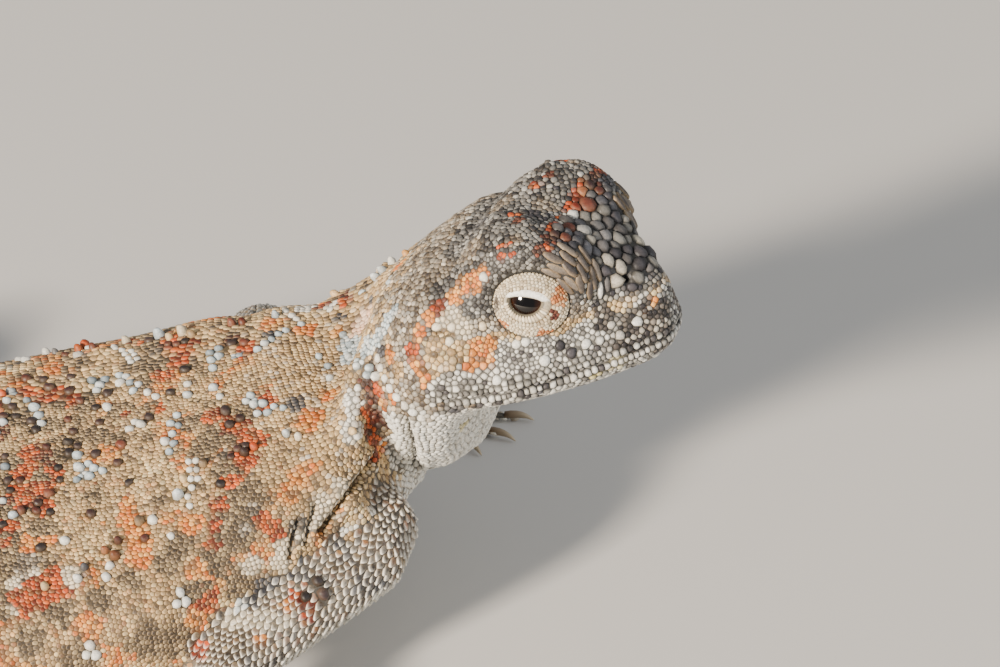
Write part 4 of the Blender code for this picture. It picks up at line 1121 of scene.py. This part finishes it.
# Lips: one row above the line of the mouth and one below it
for rise in (LIP_RAISE, -LIP_RAISE):
    for side in (1, -1):
        for step in np.linspace(0.0, 1.0, 400):
            x = 4.2 + 4.8 * min(1.0, step / 0.4)
            angle = math.radians(90.0) * max(0.0, (step - 0.4) / 0.6)
            out = Vector((math.sin(angle), side * math.cos(angle), 0.0))
            height = mouth_height(x) + rise
            for _ in range(2):
                start = head_frame @ ((Vector((x, 0.0, height)) + out * 20) * MM)
                hit, normal, _, _ = skin_tree.ray_cast(start, head_frame.to_3x3() @ -out)
                if hit is not None:
                    height = mouth_height((to_head @ hit).x / MM) + rise
            if hit is not None and part_at(hit) == "head":
                size = 0.9 + 0.5 * noise.noise(hit / (0.5 * MM))
                settle(hit, normal, LIP_WIDTH * size, "=cheek")
for px, py, width, mix in one_by_one(HEAD_SCALES):
    hit = seen(px, py)
    if hit is not None:
        settle(hit[0], hit[1], width * MM, mix)
        settle_near(far_side(hit[0]), width * MM, mix)
for px, py, width, mix in one_by_one(LONE_SCALES):
    hit = seen(px, py)
    if hit is None:
        continue
    settle(hit[0], hit[1], width * MM, mix)
    if part_at(hit[0]) in ("torso", "neck"):
        settle_near(Vector((hit[0].x - 1.5 * MM, -hit[0].y, hit[0].z)), width * MM, mix)
    if part_at(hit[0]) == "torso":
        for step in BACK_STEPS:
            for side in (1, -1):
                moved = Vector((hit[0].x + step * MM, side * hit[0].y * 0.93,
                                hit[0].z - 2 * MM))
                if draw.random() < REPEATED and moved.x > -19 * MM:
                    settle_near(moved, width * MM * draw.uniform(0.85, 1.1), mix)

# Small scales
# They cover all that the larger ones leave open. First the rows are laid, then the head,
# hands and feet are filled at random, and then whatever is still open.
candidates = lay_rows("spine", ("torso", "neck"), 460)
candidates += lay_rows("spine", ("tail_base", "tail_middle", "tail_end"), 110)
for name in lines:
    if name != "spine":
        side, kind = name.split("_")
        words = ("upper_arm", "forearm") if kind == "arm" else ("thigh", "shin")
        candidates += lay_rows(name, [side + "_" + word for word in words], 130)
extremities = [name for name in flesh if name.endswith(("hand", "foot"))]
candidates += scatter(("head",), 90)
candidates += scatter(extremities, 60)
candidates += scatter(("right_upper_arm",), 40)
candidates += scatter(flesh, 12)
for place, normal, part in candidates:
    settle(place, normal, width_at(place, normal, part), None)

# Even spread
# The places push each other apart a few times, so that the gaps even out, and each
# time they come back to the skin. The lone scales keep their places.
PUSH_SHARE = 0.24              # of what two scales lack to stand clear of each other


def spread(rounds):
    """Move the places apart, the more the closer they are against their widths."""
    for _ in range(rounds):
        tree = tree_of([entry[0] for entry in scales])
        moved = []
        for i, (place, normal, _, width, finish) in enumerate(scales):
            if finish:
                moved.append(place)
                continue
            push = Vector((0.0, 0.0, 0.0))
            for other, j, far in tree.find_range(place, 1.25 * width):
                wanted = 0.56 * (width + scales[j][3])
                if j != i and far < wanted:
                    push += (place - other) * ((wanted - far) / max(far, 1e-7))
            push -= normal * push.dot(normal)
            moved.append(place + push * PUSH_SHARE)
        for i, place in enumerate(moved):
            if not scales[i][4]:
                near, normal, _, _ = skin_tree.find_nearest(place)
                scales[i] = (near, normal, scales[i][2], scales[i][3], None)


spread(4)
settled = Settled()
for place, _, _, width, _ in scales:
    settled.lay(place, width)
for place, normal, part in (scatter(("head",), 40) + scatter(("right_upper_arm",), 40)
                            + scatter(flesh, 14)):
    settle(place, normal, width_at(place, normal, part), None)
spread(2)

# Grains of the lids
# Tiny round scales stand in rings round the slit, and each ring is moved on by half a
# grain against the one before it.
GRAIN = 0.20 * MM
for side in eyes:
    for k, share in enumerate(np.arange(0.40, 1.08, 0.105)):
        radius = float(np.interp(share, *zip(*LID_RINGS))) * MM
        ring = [lid_point(side, angle, share, radius)
                for angle in np.linspace(0, 2 * math.pi, 160)]
        count = GRAIN * (k % 2) / 2
        for one, other in zip(ring, ring[1:]):
            count += (other - one).length
            if count > GRAIN:
                count -= GRAIN
                normal = (one - eyes[side][0]).normalized()
                aside = (normal.cross(other - one)).normalized()
                spot = one + aside * draw.uniform(-0.03, 0.03) * MM
                scales.append((spot, normal, "head", GRAIN * draw.uniform(0.85, 1.2),
                               "=" + lid_mix(spot)))

# Outline of a scale
# Neighbours meet along nearly straight edges, as in a real coat: every scale grows
# towards each of its sides until it is half way to the next one.
SIDES = 8                      # corners of a scale's outline
GAP_SHARE = 0.97               # of the way to the middle between two scales
is_blank = np.array([entry[4] == "=" for entry in scales])
place = np.array([tuple(scale[0]) for scale in scales])
normal = np.array([tuple(scale[1]) for scale in scales])
part = np.array([scale[2] for scale in scales])
width = np.array([scale[3] for scale in scales])
finish = np.array([scale[4] or "" for scale in scales])
is_lone = np.array([word != "" and not word.startswith("=") for word in finish])
own_line = np.array([line_of(name) for name in part])
travel = np.zeros(len(scales))
around = np.zeros(len(scales))
lie = np.zeros((len(scales), 3))
for name in lines:
    mine = own_line == name
    travel[mine], ahead, around[mine] = along_line(name, place[mine])
    lie[mine] = -ahead if name == "spine" else ahead
lie -= normal * (lie * normal).sum(axis=1)[:, None]
lie /= np.linalg.norm(lie, axis=1)[:, None]
across = np.cross(normal, lie)

tree = tree_of([entry[0] for entry in scales])
turns = 2 * np.pi * (np.arange(SIDES) + 0.5) / SIDES
reach = np.empty((len(scales), SIDES))
for i, entry in enumerate(scales):
    half = entry[3] / 2
    most = np.full(SIDES, (1.08 if is_lone[i] else 1.42) * half)
    for other, j, far in tree.find_n(entry[0], 9):
        if j == i:
            continue
        away = np.array(other) - place[i]
        x, y = away @ lie[i], away @ across[i]
        flat = math.hypot(x, y)
        if flat < 1e-7:
            continue
        facing = np.cos(turns - math.atan2(y, x))
        mine = flat * entry[3] / (entry[3] + scales[j][3]) * GAP_SHARE
        most = np.where(facing > 0.25, np.minimum(most, mine / np.maximum(facing, 0.25)), most)
    reach[i] = most

# Form of a scale
# A scale is a low dome whose root is sunk in the skin. On limbs and tail it is drawn
# out to a point and its rear edge stands off, and a tubercle is higher and rounder.
PATCH = 0.003                  # width of a scale on the map that the colours are kept on
FORMS = {                      # rings as share of the width and of the height
    "plain": ((1.0, -0.9), (0.96, 0.30), (0.68, 0.85)),
    "hidden": ((1.0, -0.9), (0.88, 0.50)),
    "large": ((0.96, -0.9), (1.0, 0.20), (0.84, 0.68), (0.46, 0.93)),
    "long": ((0.92, -0.9), (1.0, 0.10), (0.86, 0.62), (0.50, 0.93)),
}
is_head = part == "head"
is_limb = np.array([name.endswith(ARM_WORDS + LEG_WORDS) for name in part])
is_arm = np.array([name.endswith("upper_arm") for name in part])
is_tail = np.array([name.startswith("tail") for name in part])


def by_part(lone, arm, limb, head, other):
    """A value for each scale, by its kind and the part of the body that it grows on."""
    value = np.where(is_arm, arm, np.where(is_limb | is_tail, limb,
                                           np.where(is_head, head, other)))
    return np.where(is_lone, lone, value)


jitter = draw.uniform(0.85, 1.15, len(scales))
lap = by_part(0.0, 0.55, 0.35, 0.0, 0.12)      # how far it is drawn out to the rear
tilt = by_part(0.10, 0.30, 0.22, 0.03, 0.12)   # how steeply it rises to the rear
shift = np.where(is_head, 0.12, 0.35)          # of the top towards the rear edge
high = width * np.where(is_head, np.where(width < 0.3 * MM, 0.24, 0.30),
                        np.where(is_limb | is_tail, 0.16, 0.21)) * jitter
high = np.where(is_lone, width * np.where(is_limb, 0.50, np.where(is_head, 0.28, 0.42)), high)
high = np.where(np.char.startswith(finish, "^"), width * 0.85, high)
stretch = np.ones(len(scales))
rear = by_part(0.0, 0.95, 0.45, 0.0, 0.20)     # how pale its rear edge is


def paint(red, green, blue):
    """A colour given out of 255, as the shaders count it."""
    return np.array([(value / 255) ** 2.2 for value in (red, green, blue)])


mix_colours = {name: (np.array([paint(*entry[:3]) for entry in entries]),
                      np.array([entry[3] for entry in entries], dtype=float))
               for name, entries in MIXES.items()}
EDGE_PALE = paint(250, 244, 230)       # rear edges on the limbs
EDGE_SAND = paint(230, 196, 146)       # and elsewhere
pale_tone = np.where((is_limb | is_tail)[:, None], EDGE_PALE, EDGE_SAND)
core = np.zeros((len(scales), 3))
rim = np.zeros((len(scales), 3))


def tone(mix):
    """Colours of one scale of a mix, in its middle and at its edge, with its dome's painted highlight
    and shade.
    """
    colours, shares = mix_colours[mix]
    middle, edge, dust = PAINTED_DOME_LIGHT_AND_DUST[mix]
    colour = colours[draw.choice(len(colours), p=shares / shares.sum())]
    return colour * middle, colour * edge * (1 - dust) + EDGE_SAND * dust


for i in range(len(scales)):
    if is_blank[i]:
        continue
    if finish[i]:
        found = [(finish[i].lstrip("=^"), 1.0)]
    else:
        found = mixes_at(place[i], normal[i], part[i])
    for k, (mix, strength) in enumerate(found):
        if k:                          # at a mark's edge its scales mix with the others
            strength = smooth_share(strength + draw.uniform(-0.42, 0.42), 0.15, 0.75)
        if strength > 0.02:
            middle, edge = tone(mix)
            core[i] = core[i] * (1 - strength) + middle * strength
            rim[i] = rim[i] * (1 - strength) + edge * strength
    bright = math.exp(draw.normal(0.0, 0.22 if is_head[i] else 0.19))
    bright = min(bright, 0.93 / max(core[i].max(), rim[i].max(), 0.01))
    core[i] *= bright
    rim[i] *= bright


def form_faces(rings, sides):
    """Faces of a dome of so many rings: its sides, its top and its underside."""
    ends = [(k, (k + 1) % sides) for k in range(sides)]
    faces = [(r * sides + k, r * sides + n, (r + 1) * sides + n, (r + 1) * sides + k)
             for r in range(rings - 1) for k, n in ends]
    last = (rings - 1) * sides
    faces += [(last + k, last + n, rings * sides) for k, n in ends]
    faces.append(tuple(reversed(range(sides))))
    return faces


def put_markings(mesh, tints):
    """Keep the colour of each vertex on the mesh, where the materials find it."""
    layer = mesh.color_attributes.new("marking", "FLOAT_COLOR", "POINT")
    layer.data.foreach_set("color", np.column_stack([tints, np.ones(len(tints))]).ravel())


def scale_piece(name, chosen, form):
    """One mesh of many like scales, with their colours and the map for them."""
    rings = FORMS[form]
    count = len(chosen)
    corners, maps, tints = [], [], []
    half = width[chosen][:, None] / 2
    for share, level in rings + ((0.0, 1.0),):
        angles = turns if share else np.zeros(1)
        far = reach[chosen] * share if share else np.zeros((count, 1))
        x = far * np.cos(angles) * (1 + lap[chosen][:, None] * (np.cos(angles) > 0.3))
        x = x * stretch[chosen][:, None]
        x = x + shift[chosen][:, None] * half * (1 - share) * (level > 0.3)
        y = far * np.sin(angles) * (
            1 - 0.8 * lap[chosen][:, None] * np.clip(np.cos(angles), 0, 1))
        z = level * high[chosen][:, None] + x * tilt[chosen][:, None] * (level > 0)
        if form == "large" and 0.0 < share < 0.9:        # their tops are uneven
            z = z * draw.uniform(0.86, 1.08, z.shape)
        corners.append(place[chosen][:, None, :] + x[..., None] * lie[chosen][:, None, :]
                       + y[..., None] * across[chosen][:, None, :]
                       + z[..., None] * normal[chosen][:, None, :])
        maps.append(np.stack([x, y], axis=2) / half[..., None] * PATCH / 3.2)
        # The colour runs from the middle's painted highlight out to the edge's painted shade.
        blend = share ** 8 if form == "long" else min(1.0, share / 0.92) ** 3
        tint = (core[chosen] * (1 - blend) + rim[chosen] * blend)[:, None, :]
        pale = (rear[chosen][:, None] * np.clip(np.cos(angles) * 1.3, 0, 1)
                * min(1.0, max(0.0, share - 0.55) / 0.35) * (level > 0))[..., None]
        tints.append(tint * (1 - pale) + pale_tone[chosen][:, None, :] * pale)
    corners = np.concatenate(corners, axis=1)
    each = corners.shape[1]
    faces = form_faces(len(rings), SIDES)
    mesh = bpy.data.meshes.new(name)
    mesh.from_pydata(corners.reshape(-1, 3).tolist(), [],
                     [tuple(v + i * each for v in face) for i in range(count) for face in faces])
    put_markings(mesh, np.concatenate(tints, axis=1).reshape(-1, 3))
    low, high_end = travel[chosen].min(), travel[chosen].max()
    roots = np.stack([0.02 + 0.96 * (around[chosen] + np.pi) / (2 * np.pi),
                      0.02 + 0.96 * (travel[chosen] - low) / max(high_end - low, MM)], axis=1)
    maps = (np.concatenate(maps, axis=1) + roots[:, None, :]).reshape(-1, 2)
    index = np.empty(len(mesh.loops), dtype=int)
    mesh.loops.foreach_get("vertex_index", index)
    mesh.uv_layers.new(name="OFBake").data.foreach_set("uv", maps[index].ravel())
    mesh.shade_smooth()
    thing = bpy.data.objects.new(name, mesh)
    bpy.context.scene.collection.objects.link(thing)
    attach(thing, body)
    return thing


# Dry skin, shared by skin, scales and lids: the markings with fine dirt in them, a
# sheen that changes from spot to spot, and a fine grain
dry_skin = bpy.data.node_groups.new("dry_skin", "ShaderNodeTree")
for name, kind in (("Base Color", "NodeSocketColor"), ("Roughness", "NodeSocketFloat"),
                   ("Height", "NodeSocketFloat")):
    dry_skin.interface.new_socket(name, in_out="OUTPUT", socket_type=kind)
nodes, links = dry_skin.nodes, dry_skin.links
result = nodes.new("NodeGroupOutput")
marking = nodes.new("ShaderNodeAttribute")
marking.attribute_name = "marking"
where = nodes.new("ShaderNodeTexCoord")
dirt = nodes.new("ShaderNodeTexNoise")             # blotches of about a third of a mm
dirt.inputs["Scale"].default_value = 3200.0
dirt.inputs["Detail"].default_value = 3.0
grain = nodes.new("ShaderNodeTexNoise")            # grain within a scale
grain.inputs["Scale"].default_value = 9000.0
grain.inputs["Detail"].default_value = 4.0
for texture in (dirt, grain):
    links.new(where.outputs["Object"], texture.inputs["Vector"])


def ranged(nodes, links, texture, low, high):
    """The middle band of a noise, spread from a low to a high value."""
    band = nodes.new("ShaderNodeMapRange")
    for socket, value in zip(("From Min", "From Max", "To Min", "To Max"), (0.3, 0.7, low, high)):
        band.inputs[socket].default_value = value
    links.new(texture.outputs["Fac"], band.inputs["Value"])
    return band.outputs["Result"]


dusted = nodes.new("ShaderNodeMix")
dusted.data_type = "RGBA"
dusted.blend_type = "MULTIPLY"
dusted.inputs["Factor"].default_value = 1.0
links.new(marking.outputs["Color"], dusted.inputs["A"])
links.new(ranged(nodes, links, grain, 0.70, 1.18), dusted.inputs["B"])
links.new(dusted.outputs["Result"], result.inputs["Base Color"])
links.new(ranged(nodes, links, dirt, 0.42, 0.72), result.inputs["Roughness"])
links.new(grain.outputs["Fac"], result.inputs["Height"])


def skin_material(name, depth):
    """Dry skin with a grain this deep."""
    material = bpy.data.materials.new(name)
    material.use_nodes = True
    nodes, links = material.node_tree.nodes, material.node_tree.links
    shader = nodes["Principled BSDF"]
    shared = nodes.new("ShaderNodeGroup")
    shared.node_tree = dry_skin
    bump = nodes.new("ShaderNodeBump")
    bump.inputs["Strength"].default_value = 0.5
    bump.inputs["Distance"].default_value = depth
    links.new(shared.outputs["Base Color"], shader.inputs["Base Color"])
    links.new(shared.outputs["Roughness"], shader.inputs["Roughness"])
    links.new(shared.outputs["Height"], bump.inputs["Height"])
    links.new(bump.outputs["Normal"], shader.inputs["Normal"])
    return material


scale_material = skin_material("scales", 0.03 * MM)
skin_material_base = skin_material("skin", 0.05 * MM)
MOST_LARGE = 2600              # large scales in one piece
GROUPS = (                     # name, which scales, most other scales in one piece
    ("head_scales", is_head, 3600), ("neck_scales", part == "neck", 3600),
    ("trunk_scales", part == "torso", 3800), ("tail_scales", is_tail, 6000),
    ("right_arm_scales", own_line == "right_arm", 3800),
    ("left_arm_scales", own_line == "left_arm", 6000),
    ("right_leg_scales", own_line == "right_leg", 6000),
    ("left_leg_scales", own_line == "left_leg", 6000),
)
is_large = is_lone | (width > 0.58 * MM)
is_hidden = ~is_large & (is_tail | (own_line == "left_arm") | (own_line == "right_leg")
                         | (own_line == "left_leg") | ((normal[:, 2] < -0.3) & ~is_head))
KINDS = {"large": is_large, "hidden": is_hidden, "plain": ~is_large & ~is_hidden}
for name, mine, most in GROUPS:
    for form, kind in KINDS.items():
        chosen = np.nonzero(mine & kind & ~is_blank)[0]
        if len(chosen) == 0:
            continue
        chosen = chosen[np.argsort(travel[chosen])]
        pieces = math.ceil(len(chosen) / (MOST_LARGE if form == "large" else most))
        for k, some in enumerate(np.array_split(chosen, pieces)):
            thing = scale_piece("%s_%s_%d" % (name, form, k + 1), some, form)
            thing.data.materials.append(scale_material)

# The long scales are made the same way, each a pointed oval.
place = np.array([tuple(entry[0]) for entry in long_ones])
normal = np.array([tuple(entry[1]) for entry in long_ones])
lie = np.array([tuple(entry[2]) for entry in long_ones])
across = np.cross(normal, lie)
width = np.array([entry[4] for entry in long_ones])
length = np.array([entry[3] for entry in long_ones])
reach = np.repeat(width[:, None] / 2, SIDES, axis=1)
stretch = length / width
lap = np.full(len(place), 0.05)
rear = np.zeros(len(place))
pale_tone = np.ones((len(place), 3))
shift = np.zeros(len(place))
tilt = np.full(len(place), 0.04)
high = width * 0.34
travel, _, around = along_line("spine", place)
tones = [tone(entry[5]) for entry in long_ones]
core = np.array([middle for middle, _ in tones])
rim = np.array([edge for _, edge in tones])
thing = scale_piece("long_scales", np.arange(len(place)), "long")
thing.data.materials.append(scale_material)

# The skin shows between the scales in the same markings, darkened as painted shade in the gaps
# between them.
mean_colours = {name: (colours * shares[:, None]).sum(axis=0) / shares.sum()
                for name, (colours, shares) in mix_colours.items()}
SCALE_GAP_SHADE = 0.24                 # brightness of the skin against the scales
tints = np.ones((len(skin.data.vertices), 3))
for vertex in skin.data.vertices:
    tint = np.zeros(3)
    for mix, strength in mixes_at(vertex.co, vertex.normal, part_at(vertex.co)):
        tint = tint * (1 - strength) + mean_colours[mix] * strength
    # Painted shade: the skin darkens further inside the nostrils and down in the folds.
    recess_shade = 0.15 + 0.85 * smooth_share(nostril_share(vertex.co), 0.9, 2.2)
    recess_shade *= 0.25 + 0.75 * smooth_share(fold_at(vertex.co)[0], 0.6, 1.6)
    tints[vertex.index] = tint * SCALE_GAP_SHADE * recess_shade
put_markings(skin.data, tints)
skin.data.materials.clear()
skin.data.materials.append(skin_material_base)

# Eyeballs
# Each is a wet ball, almost black in the pupil and dark brown round it, that sits
# behind the slit of the lids. The colours lie on the ball and the wetness is a coat.
EYE_RADIUS = 1.9 * MM
PUPIL, IRIS = 18.0, 40.0           # their edges, degrees from where the eye looks
eyeballs = {}
for side, (centre, look, _, _) in eyes.items():
    bpy.ops.object.select_all(action="DESELECT")
    bpy.ops.mesh.primitive_uv_sphere_add(segments=64, ring_count=40, radius=EYE_RADIUS)
    eyeball = bpy.context.object
    eyeball.name = eyeball.data.name = "eyeball_" + side
    bpy.ops.object.shade_smooth()
    facing = look.to_track_quat("Z", "Y").to_matrix().to_4x4()
    eyeball.data.transform(Matrix.Translation(centre) @ facing)
    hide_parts("eye_" + side)
    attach(eyeball, body)
    eyeballs[side] = eyeball
eye_material = bpy.data.materials.new("eyeball")
eye_material.use_nodes = True
shader = eye_material.node_tree.nodes["Principled BSDF"]
shown = eye_material.node_tree.nodes.new("ShaderNodeAttribute")
shown.attribute_name = "marking"
eye_material.node_tree.links.new(shown.outputs["Color"], shader.inputs["Base Color"])
shader.inputs["Roughness"].default_value = 0.08
shader.inputs["Specular IOR Level"].default_value = 0.3
shader.inputs["Coat Weight"].default_value = 0.5
shader.inputs["Coat Roughness"].default_value = 0.03
for side, eyeball in eyeballs.items():
    eyeball.data.materials.append(eye_material)
    centre, look = eyes[side][:2]
    tints = np.ones((len(eyeball.data.vertices), 3))
    for vertex in eyeball.data.vertices:
        far = math.degrees((vertex.co - centre).angle(look))
        streak = 0.7 + 0.6 * noise.noise((vertex.co - centre).normalized() * 14)
        dark, brown, pale = paint(12, 8, 8), paint(52, 31, 20) * streak, paint(110, 84, 62)
        iris = smooth_share(far, PUPIL - 1.5, PUPIL + 1.5)
        white = smooth_share(far, IRIS - 2, IRIS + 2)
        tints[vertex.index] = (dark * (1 - iris) + brown * iris) * (1 - white) + pale * white
    put_markings(eyeball.data, tints)

# Meshes of the lids
# Both lids of an eye are one closed ring of soft skin round its slit. The upper lid's
# margin is white, and the rest is coloured under the grains as the grains are, darkened
# as painted shade between the grains and along the slit.
LID_GRAIN_SHADE = 0.5                 # brightness of the lids between their grains
BARE_SHARE = 0.35                  # no grains grow closer to the slit than this
WHITE_MARGIN = (0.03, 0.34)        # where the upper lid's white margin lies
LID_SIDES = 72


def face_outward(thing):
    """Turn all faces of an object outward."""
    choose(thing)
    bpy.ops.object.mode_set(mode="EDIT")
    bpy.ops.mesh.select_all(action="SELECT")
    bpy.ops.mesh.normals_make_consistent(inside=False)
    bpy.ops.object.mode_set(mode="OBJECT")


for side in eyes:
    corners = [lid_point(side, 2 * math.pi * k / LID_SIDES, share, radius * MM)
               for share, radius in LID_RINGS for k in range(LID_SIDES)]
    rings = [np.arange(LID_SIDES) + r * LID_SIDES for r in range(len(LID_RINGS))]
    faces = [(near[k], near[(k + 1) % LID_SIDES], far[(k + 1) % LID_SIDES], far[k])
             for near, far in zip(rings, rings[1:] + rings[:1]) for k in range(LID_SIDES)]
    mesh = bpy.data.meshes.new("lids_" + side)
    mesh.from_pydata(corners, [], [tuple(int(v) for v in face) for face in faces])
    mesh.shade_smooth()
    lids = bpy.data.objects.new("lids_" + side, mesh)
    bpy.context.scene.collection.objects.link(lids)
    face_outward(lids)
    tints = np.ones((len(mesh.vertices), 3))
    for r, (share, _) in enumerate(LID_RINGS):
        for k in range(LID_SIDES):
            angle = 2 * math.pi * k / LID_SIDES
            i = r * LID_SIDES + k
            # Between the grains the lid is darkened as painted shade.
            tint = mean_colours[lid_mix(mesh.vertices[i].co)] * (
                1.0 if share < BARE_SHARE else LID_GRAIN_SHADE)
            up = smooth_share(math.sin(angle), 0.22, 0.50)
            if WHITE_MARGIN[0] <= share <= WHITE_MARGIN[1]:
                tint = tint * 0.58 * (1 - up) + paint(253, 250, 242) * up
            # Painted shade along the slit, wider on the lower lid and at its corners.
            if share < 0.02 or (share < 0.06 and up < 0.5):
                tint = tint * 0.30
            if share == WHITE_MARGIN[1]:       # the seam beyond the margin
                tint = tint * paint(170, 130, 100)
            tints[i] = tint
    put_markings(mesh, tints)
    mesh.materials.append(skin_material_base)
    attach(lids, body)

# Claws
# One on every toe, of horn: narrow, arched and pointed, dark at the root and pale at
# the tip, with fine fibres that make its gloss uneven.
CLAW_RINGS = (                 # distance behind the tip, height, radius, all in mm
    (1.75, 0.44, 0.20), (1.40, 0.48, 0.23), (1.05, 0.50, 0.22), (0.75, 0.48, 0.19),
    (0.48, 0.41, 0.15), (0.26, 0.30, 0.11), (0.10, 0.19, 0.06),
)
CLAW_SIDES = 10
corners, faces = [], []
for tip, ahead in claw_tips:
    start = len(corners)
    aside = Vector((0.0, 0.0, 1.0)).cross(ahead)
    for back, height, radius in CLAW_RINGS:
        centre = Vector((tip.x, tip.y, 0.0)) - ahead * back * MM
        centre.z = height * MM
        for k in range(CLAW_SIDES):
            angle = 2 * math.pi * k / CLAW_SIDES
            corners.append(centre + aside * math.cos(angle) * radius * 0.85 * MM
                           + Vector((0.0, 0.0, 1.0)) * math.sin(angle) * radius * 1.1 * MM)
    corners.append(Vector((tip.x, tip.y, 0.13 * MM)))
    faces += [tuple(start + v for v in face)
              for face in form_faces(len(CLAW_RINGS), CLAW_SIDES)]
mesh = bpy.data.meshes.new("claws")
mesh.from_pydata(corners, [], faces)
mesh.shade_smooth()
claws = bpy.data.objects.new("claws", mesh)
bpy.context.scene.collection.objects.link(claws)
face_outward(claws)
each = len(CLAW_RINGS) * CLAW_SIDES + 1
tints = np.ones((len(mesh.vertices), 3))
for i in range(len(mesh.vertices)):
    share = min(1.0, (i % each) // CLAW_SIDES / (len(CLAW_RINGS) - 1))
    tints[i] = paint(104, 82, 62) * (1 - share) + paint(196, 178, 148) * share
put_markings(mesh, tints)
horn = bpy.data.materials.new("claw_horn")
horn.use_nodes = True
nodes, links = horn.node_tree.nodes, horn.node_tree.links
shader = nodes["Principled BSDF"]
marking = nodes.new("ShaderNodeAttribute")
marking.attribute_name = "marking"
where = nodes.new("ShaderNodeTexCoord")
fibres = nodes.new("ShaderNodeTexNoise")
fibres.inputs["Scale"].default_value = 5000.0
links.new(where.outputs["Object"], fibres.inputs["Vector"])
links.new(ranged(nodes, links, fibres, 0.28, 0.50), shader.inputs["Roughness"])
links.new(marking.outputs["Color"], shader.inputs["Base Color"])
mesh.materials.append(horn)
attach(claws, body)

# Floor and light
# A plain pale floor. The main light comes warm and low from the camera's left, as the
# sun does in the photo, and a weak cool one fills in from the right.
bpy.ops.object.select_all(action="DESELECT")
bpy.ops.mesh.primitive_plane_add(size=3.0, location=(0.0, 0.0, 0.0))
floor = bpy.context.object
floor.name = "floor"
floor_paint = bpy.data.materials.new("floor_paint")
floor_paint.use_nodes = True
floor_shader = floor_paint.node_tree.nodes["Principled BSDF"]
floor_shader.inputs["Base Color"].default_value = (0.62, 0.60, 0.57, 1)
floor_shader.inputs["Roughness"].default_value = 0.9
floor.data.materials.append(floor_paint)


def soft_light(name, place, power, size, colour):
    """A square studio light that faces the head."""
    lamp = bpy.data.lights.new(name, "AREA")
    lamp.energy = power
    lamp.size = size
    lamp.color = colour
    thing = bpy.data.objects.new(name, lamp)
    thing.location = place
    look = HEAD_PLACE - Vector(place)
    thing.rotation_euler = look.to_track_quat("-Z", "Y").to_euler()
    bpy.context.scene.collection.objects.link(thing)


soft_light("key", (-0.43, -0.38, 0.25), 11.5, 0.08, (1.0, 0.88, 0.74))
soft_light("fill", (0.5, -0.25, 0.35), 1.6, 0.5, (0.9, 0.95, 1.0))
world = bpy.data.worlds.new("studio")
bpy.context.scene.world = world
world.use_nodes = True
world.node_tree.nodes["Background"].inputs["Color"].default_value = (0.88, 0.89, 0.90, 1)
world.node_tree.nodes["Background"].inputs["Strength"].default_value = 0.42
